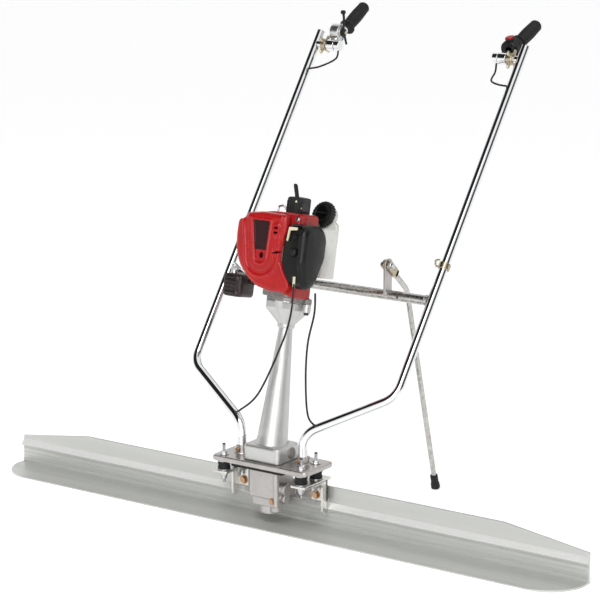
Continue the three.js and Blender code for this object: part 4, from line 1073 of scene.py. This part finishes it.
def kill_switch():
    heading = arm_heading(1)
    start = on_arm(1, 27.5, 5)
    profile = [(8.9, 0), (19.5, 0), (22, 2.5), (22, 12), (21, 13)]
    profile += [(21, 17), (22, 18), (22, 27.5), (19.5, 30), (8.9, 30)]
    form = lathe(fillet(profile, 1, True, 3), start, heading, 56)
    collar = fillet([(8.8, 0), (11.6, 0), (11.6, 7), (8.8, 7)], 0.8, True, 3)
    upward = Vector((0, -sin(RISE[1]), cos(RISE[1])))
    form.join(lathe(collar, on_arm(1, 42, 23), upward, 40))
    form.join(rod(on_arm(1, 30, -14), on_arm(1, 36, -24), 3.4))
    show("switch_body", "switch_shell", form, [black_moulding], sharp=50)
    button = fillet([(0, 0), (8.3, 0), (8.3, 8), (7, 9.4), (0, 9.8)], 1, steps=3)
    show("stop_button", "red_button", lathe(button, on_arm(1, 42, 22.6), upward), [red_gloss], sharp=60)


# ---- stand ----

STAND_X = 157
STAND_PIVOT_Z = 554
STAND_Y = tube_at(1, 489).y


def stand():
    """Cranked leg in a folded fork, its rubber foot cut level at the floor, and the pivot's bolt."""
    back, down = 78, 68
    heading = Vector((0, back, -down)).normalized()
    pivot = Vector((STAND_X, STAND_Y, STAND_PIVOT_Z))
    start = pivot + heading * 33
    end = Vector((STAND_X, STAND_Y + 206, 12))
    path = bent([start, (STAND_X, STAND_Y + back, STAND_PIVOT_Z - down), end], 40, 12)
    detail("stand_leg", "steel", "stand_rod", sweep(path, 6, 32), [pipe_metal], sharp=45)
    angle = -atan2(down, back)
    turn = Matrix.Translation(pivot) @ Matrix.Rotation(angle, 4, "X")
    cheeks = Form()
    outline = fillet([(-11, -11), (38, -9), (38, 9), (-11, 11)], 9, True, 6)
    for side in (1, -1):
        low, high = sorted((side * 3.6, side * 8.8))
        cheeks.join(prism(outline, ALONG_X, low, high))
    cheeks.join(prism(rectangle(29, 38, -8.6, 8.6, 2), ALONG_X, -8.8, 8.8))
    item = make("stand_fork", cheeks.moved(turn), [pale_zinc], bevel=0.9)
    stand_for(item, "stand_leg")

    heading = (end - path[-2][0]).normalized()
    foot = fillet([(0, 0), (8, 0), (8.8, 2), (8.6, 18), (10, 22), (10.4, 33), (8, 36), (0, 36)], 1.4, steps=3)
    item = make("stand_cap", lathe(foot, end - heading * 24, heading, 48), [rubber_black], sharp=60)
    carve(item, block(STAND_X - 60, STAND_X + 60, 300, 560, -60, 0.2))
    stand_for(item, "stand_foot")
    head = pivot - X_AXIS * 9
    bolt = join(
        hexagon(head - X_AXIS, -X_AXIS, 7, 5),
        rod(head - X_AXIS * 3, head + X_AXIS * 26, 4),
        hexagon(head + X_AXIS * 18.6, X_AXIS, 7, 5.6),
        washer(head + X_AXIS * 18.2, X_AXIS, 9, 4.2, 1),
    )
    show("stand_bolt", "stand_pivot", bolt, [steel_metal])


def cable_clip():
    start = tube_at(1, 550)
    heading = (tube_at(1, 590) - start).normalized()
    band = lathe(fillet([(10.4, 0), (13, 0), (13, 14), (10.4, 14)], 0.8, True, 3), start, heading, 48)
    x, y, z = start
    corners = [(x - 12, y + 2, z + 5), (x - 21, y + 2, z + 5)]
    corners += [(x - 21, y + 2, z + 18), (x - 11, y + 4, z + 20)]
    form = band.join(sweep(bent(corners, 4, 8), 2.2, 20))
    show("cable_clip", "wire_clip", form, [pale_zinc], sharp=45)


# ---- cables ----


def cable(name, side, piece):
    """From the engine into the lower run of the handle, and out below the grip."""
    if side < 0:
        corners = [LEAN @ Vector((70.5, -93, 350)), LEAN @ Vector((71, -93, 340))]
        corners += [(54, -7, 470), (35, -14, 405), (-24, -14, 292), (-76, -11, 245)]
    else:
        corners = [LEAN @ Vector((78, -20, 334)), (86, 35, 470), (76, 25, 405), (80, 12, 330), (100, -8, 258)]
    form = sweep(smooth_path(corners + [tube_at(side, 229, run=1)], 10), 2.2, 16)
    upper = [tube_at(side, 915), (side * 252, 504, 920), (side * 228, 514, 926)]
    upper += [(side * 214, STUB_Y - 8, 940), (side * 212, STUB_Y, STUB_HEIGHT - 10)]
    form.join(sweep(smooth_path(upper, 10), 2.2, 16))
    show(name, piece, form, [cable_black], sharp=60)


# ---- assembly ----

screed_blade()
exciter()
base_plate()
column_casting()
clutch_housing()
engine_cover()
recoil()
starter_grip()
air_cleaner()
carburettor()
fuel_tank()
fuel_cap()
muffler()
crossbar()
for word, side in SIDES:
    blade_bracket(word, side)
    bracket_bolt(word, side)
    tube_bolt(word, side)
    handle_tube(word, side)
    grip_arm(word, side)
    grip(word, side)
    wing_nut(word, side)
    for end in BUFFER_YS:
        buffer(word, side, end)
throttle()
kill_switch()
stand()
cable_clip()
cable("throttle_cable", -1, "throttle_wire")
cable("stop_wire", 1, "switch_wire")

STEEL_NODES = ("crankshaft", "clutch_drum", "drive_shaft", "drive_bearing", "eccentric_shaft",
               "exciter_bearing_lower", "exciter_bearing_upper")
# The crankcase takes the shaded casting colour: painted shade.
CARRIED_OVER = {"crankcase": painted_shade_cast, "clutch_rotor": dark_metal, "flexible_coupling": rubber_black}
CARRIED_OVER.update(dict.fromkeys(STEEL_NODES, steel_metal))
for name, paint in CARRIED_OVER.items():
    node = frame["nodes"][name]
    node.data.materials.clear()
    node.data.materials.append(paint)


# ---- studio ----


def studio_world():
    """White for the camera, dimmer as soft light, with dark and bright patches for reflections only."""
    world = bpy.data.worlds.new("studio")
    bpy.context.scene.world = world
    world.use_nodes = True
    tree = world.node_tree
    link = tree.links.new
    tree.nodes.clear()
    output = add_node(tree, "OutputWorld")
    path = add_node(tree, "LightPath")

    def backdrop(strength):
        return add_node(tree, "Background", {"Color": (1, 1, 1, 1), "Strength": strength})

    def choose(ray, other, seen):
        mix = add_node(tree, "MixShader")
        link(path.outputs[ray], mix.inputs[0])
        link(other.outputs[0], mix.inputs[1])
        link(seen.outputs[0], mix.inputs[2])
        return mix

    mirrored = backdrop(1.0)
    lit = choose("Is Glossy Ray", backdrop(0.48), mirrored)
    link(choose("Is Camera Ray", lit, backdrop(1.0)).outputs[0], output.inputs[0])

    place = add_node(tree, "TexCoord")
    strength = None
    patches = [((-0.5, -0.45, 0.72), 0.76, 0.82, 0.98), ((0.93, 0.1, 0.3), 0.91, 0.95, 0.96),
               ((-0.1, 0.99, 0.1), 0.9, 0.96, 0.9), ((0.42, -0.9, 0.12), 0.93, 0.98, -3.0),
               ((0.35, -0.7, 0.62), 0.95, 0.985, -5.0)]
    for direction, start, stop, depth in patches:
        dot = add_node(tree, "VectorMath", {1: Vector(direction).normalized()})
        dot.operation = "DOT_PRODUCT"
        link(place.outputs["Generated"], dot.inputs[0])
        edge = map_range(tree, dot.outputs["Value"], (start, stop), (1.0, 1 - depth))
        edge.interpolation_type = "SMOOTHSTEP"
        product = add_node(tree, "Math", {0: 1.0})
        product.operation = "MULTIPLY"
        if strength:
            link(strength, product.inputs[0])
        link(edge.outputs["Result"], product.inputs[1])
        strength = product.outputs[0]
    link(strength, mirrored.inputs["Strength"])


def area_light(name, place, size, power):
    light = bpy.data.lights.new(name, "AREA")
    light.shape = "RECTANGLE"
    light.size, light.size_y = size
    light.energy = power
    item = add_object(name, light)
    item.location = place
    item.rotation_euler = (Vector((0, 0.15, 0.4)) - item.location).to_track_quat("-Z", "Y").to_euler()
    item.visible_glossy = False


def floor():
    mesh = bpy.data.meshes.new("floor")
    corners = [(-30, -30, -0.0005), (30, -30, -0.0005), (30, 30, -0.0005), (-30, 30, -0.0005)]
    mesh.from_pydata(corners, [], [(0, 1, 2, 3)])
    item = add_object("floor", mesh)
    paint = surface("floor_paint", (0.92, 0.92, 0.92), 0.8, 0, 0.01, 400, 0.05, 5)
    shader = paint.node_tree.nodes["Principled BSDF"]
    fill(shader, {"Emission Color": (1, 1, 1, 1), "Emission Strength": 0.5})
    mesh.materials.append(paint)


def camera():
    azimuth, elevation = radians(35), radians(12.626)
    lens = bpy.data.cameras.new("camera")
    lens.sensor_width = 36
    lens.lens = 140.9
    item = add_object("camera", lens)
    item.location = (2.8392, -3.9496, 1.5852)
    heading = Vector((-sin(azimuth) * cos(elevation), cos(azimuth) * cos(elevation), -sin(elevation)))
    item.rotation_mode = "QUATERNION"
    item.rotation_quaternion = heading.to_track_quat("-Z", "Y")
    bpy.context.scene.camera = item


studio_world()
area_light("key", (1.0, -2.6, 3.4), (1.2, 1.2), 64)
area_light("fill", (-2.6, -1.6, 2.0), (1.6, 2.4), 10)
floor()
camera()
bpy.context.scene.view_settings.view_transform = "Standard"
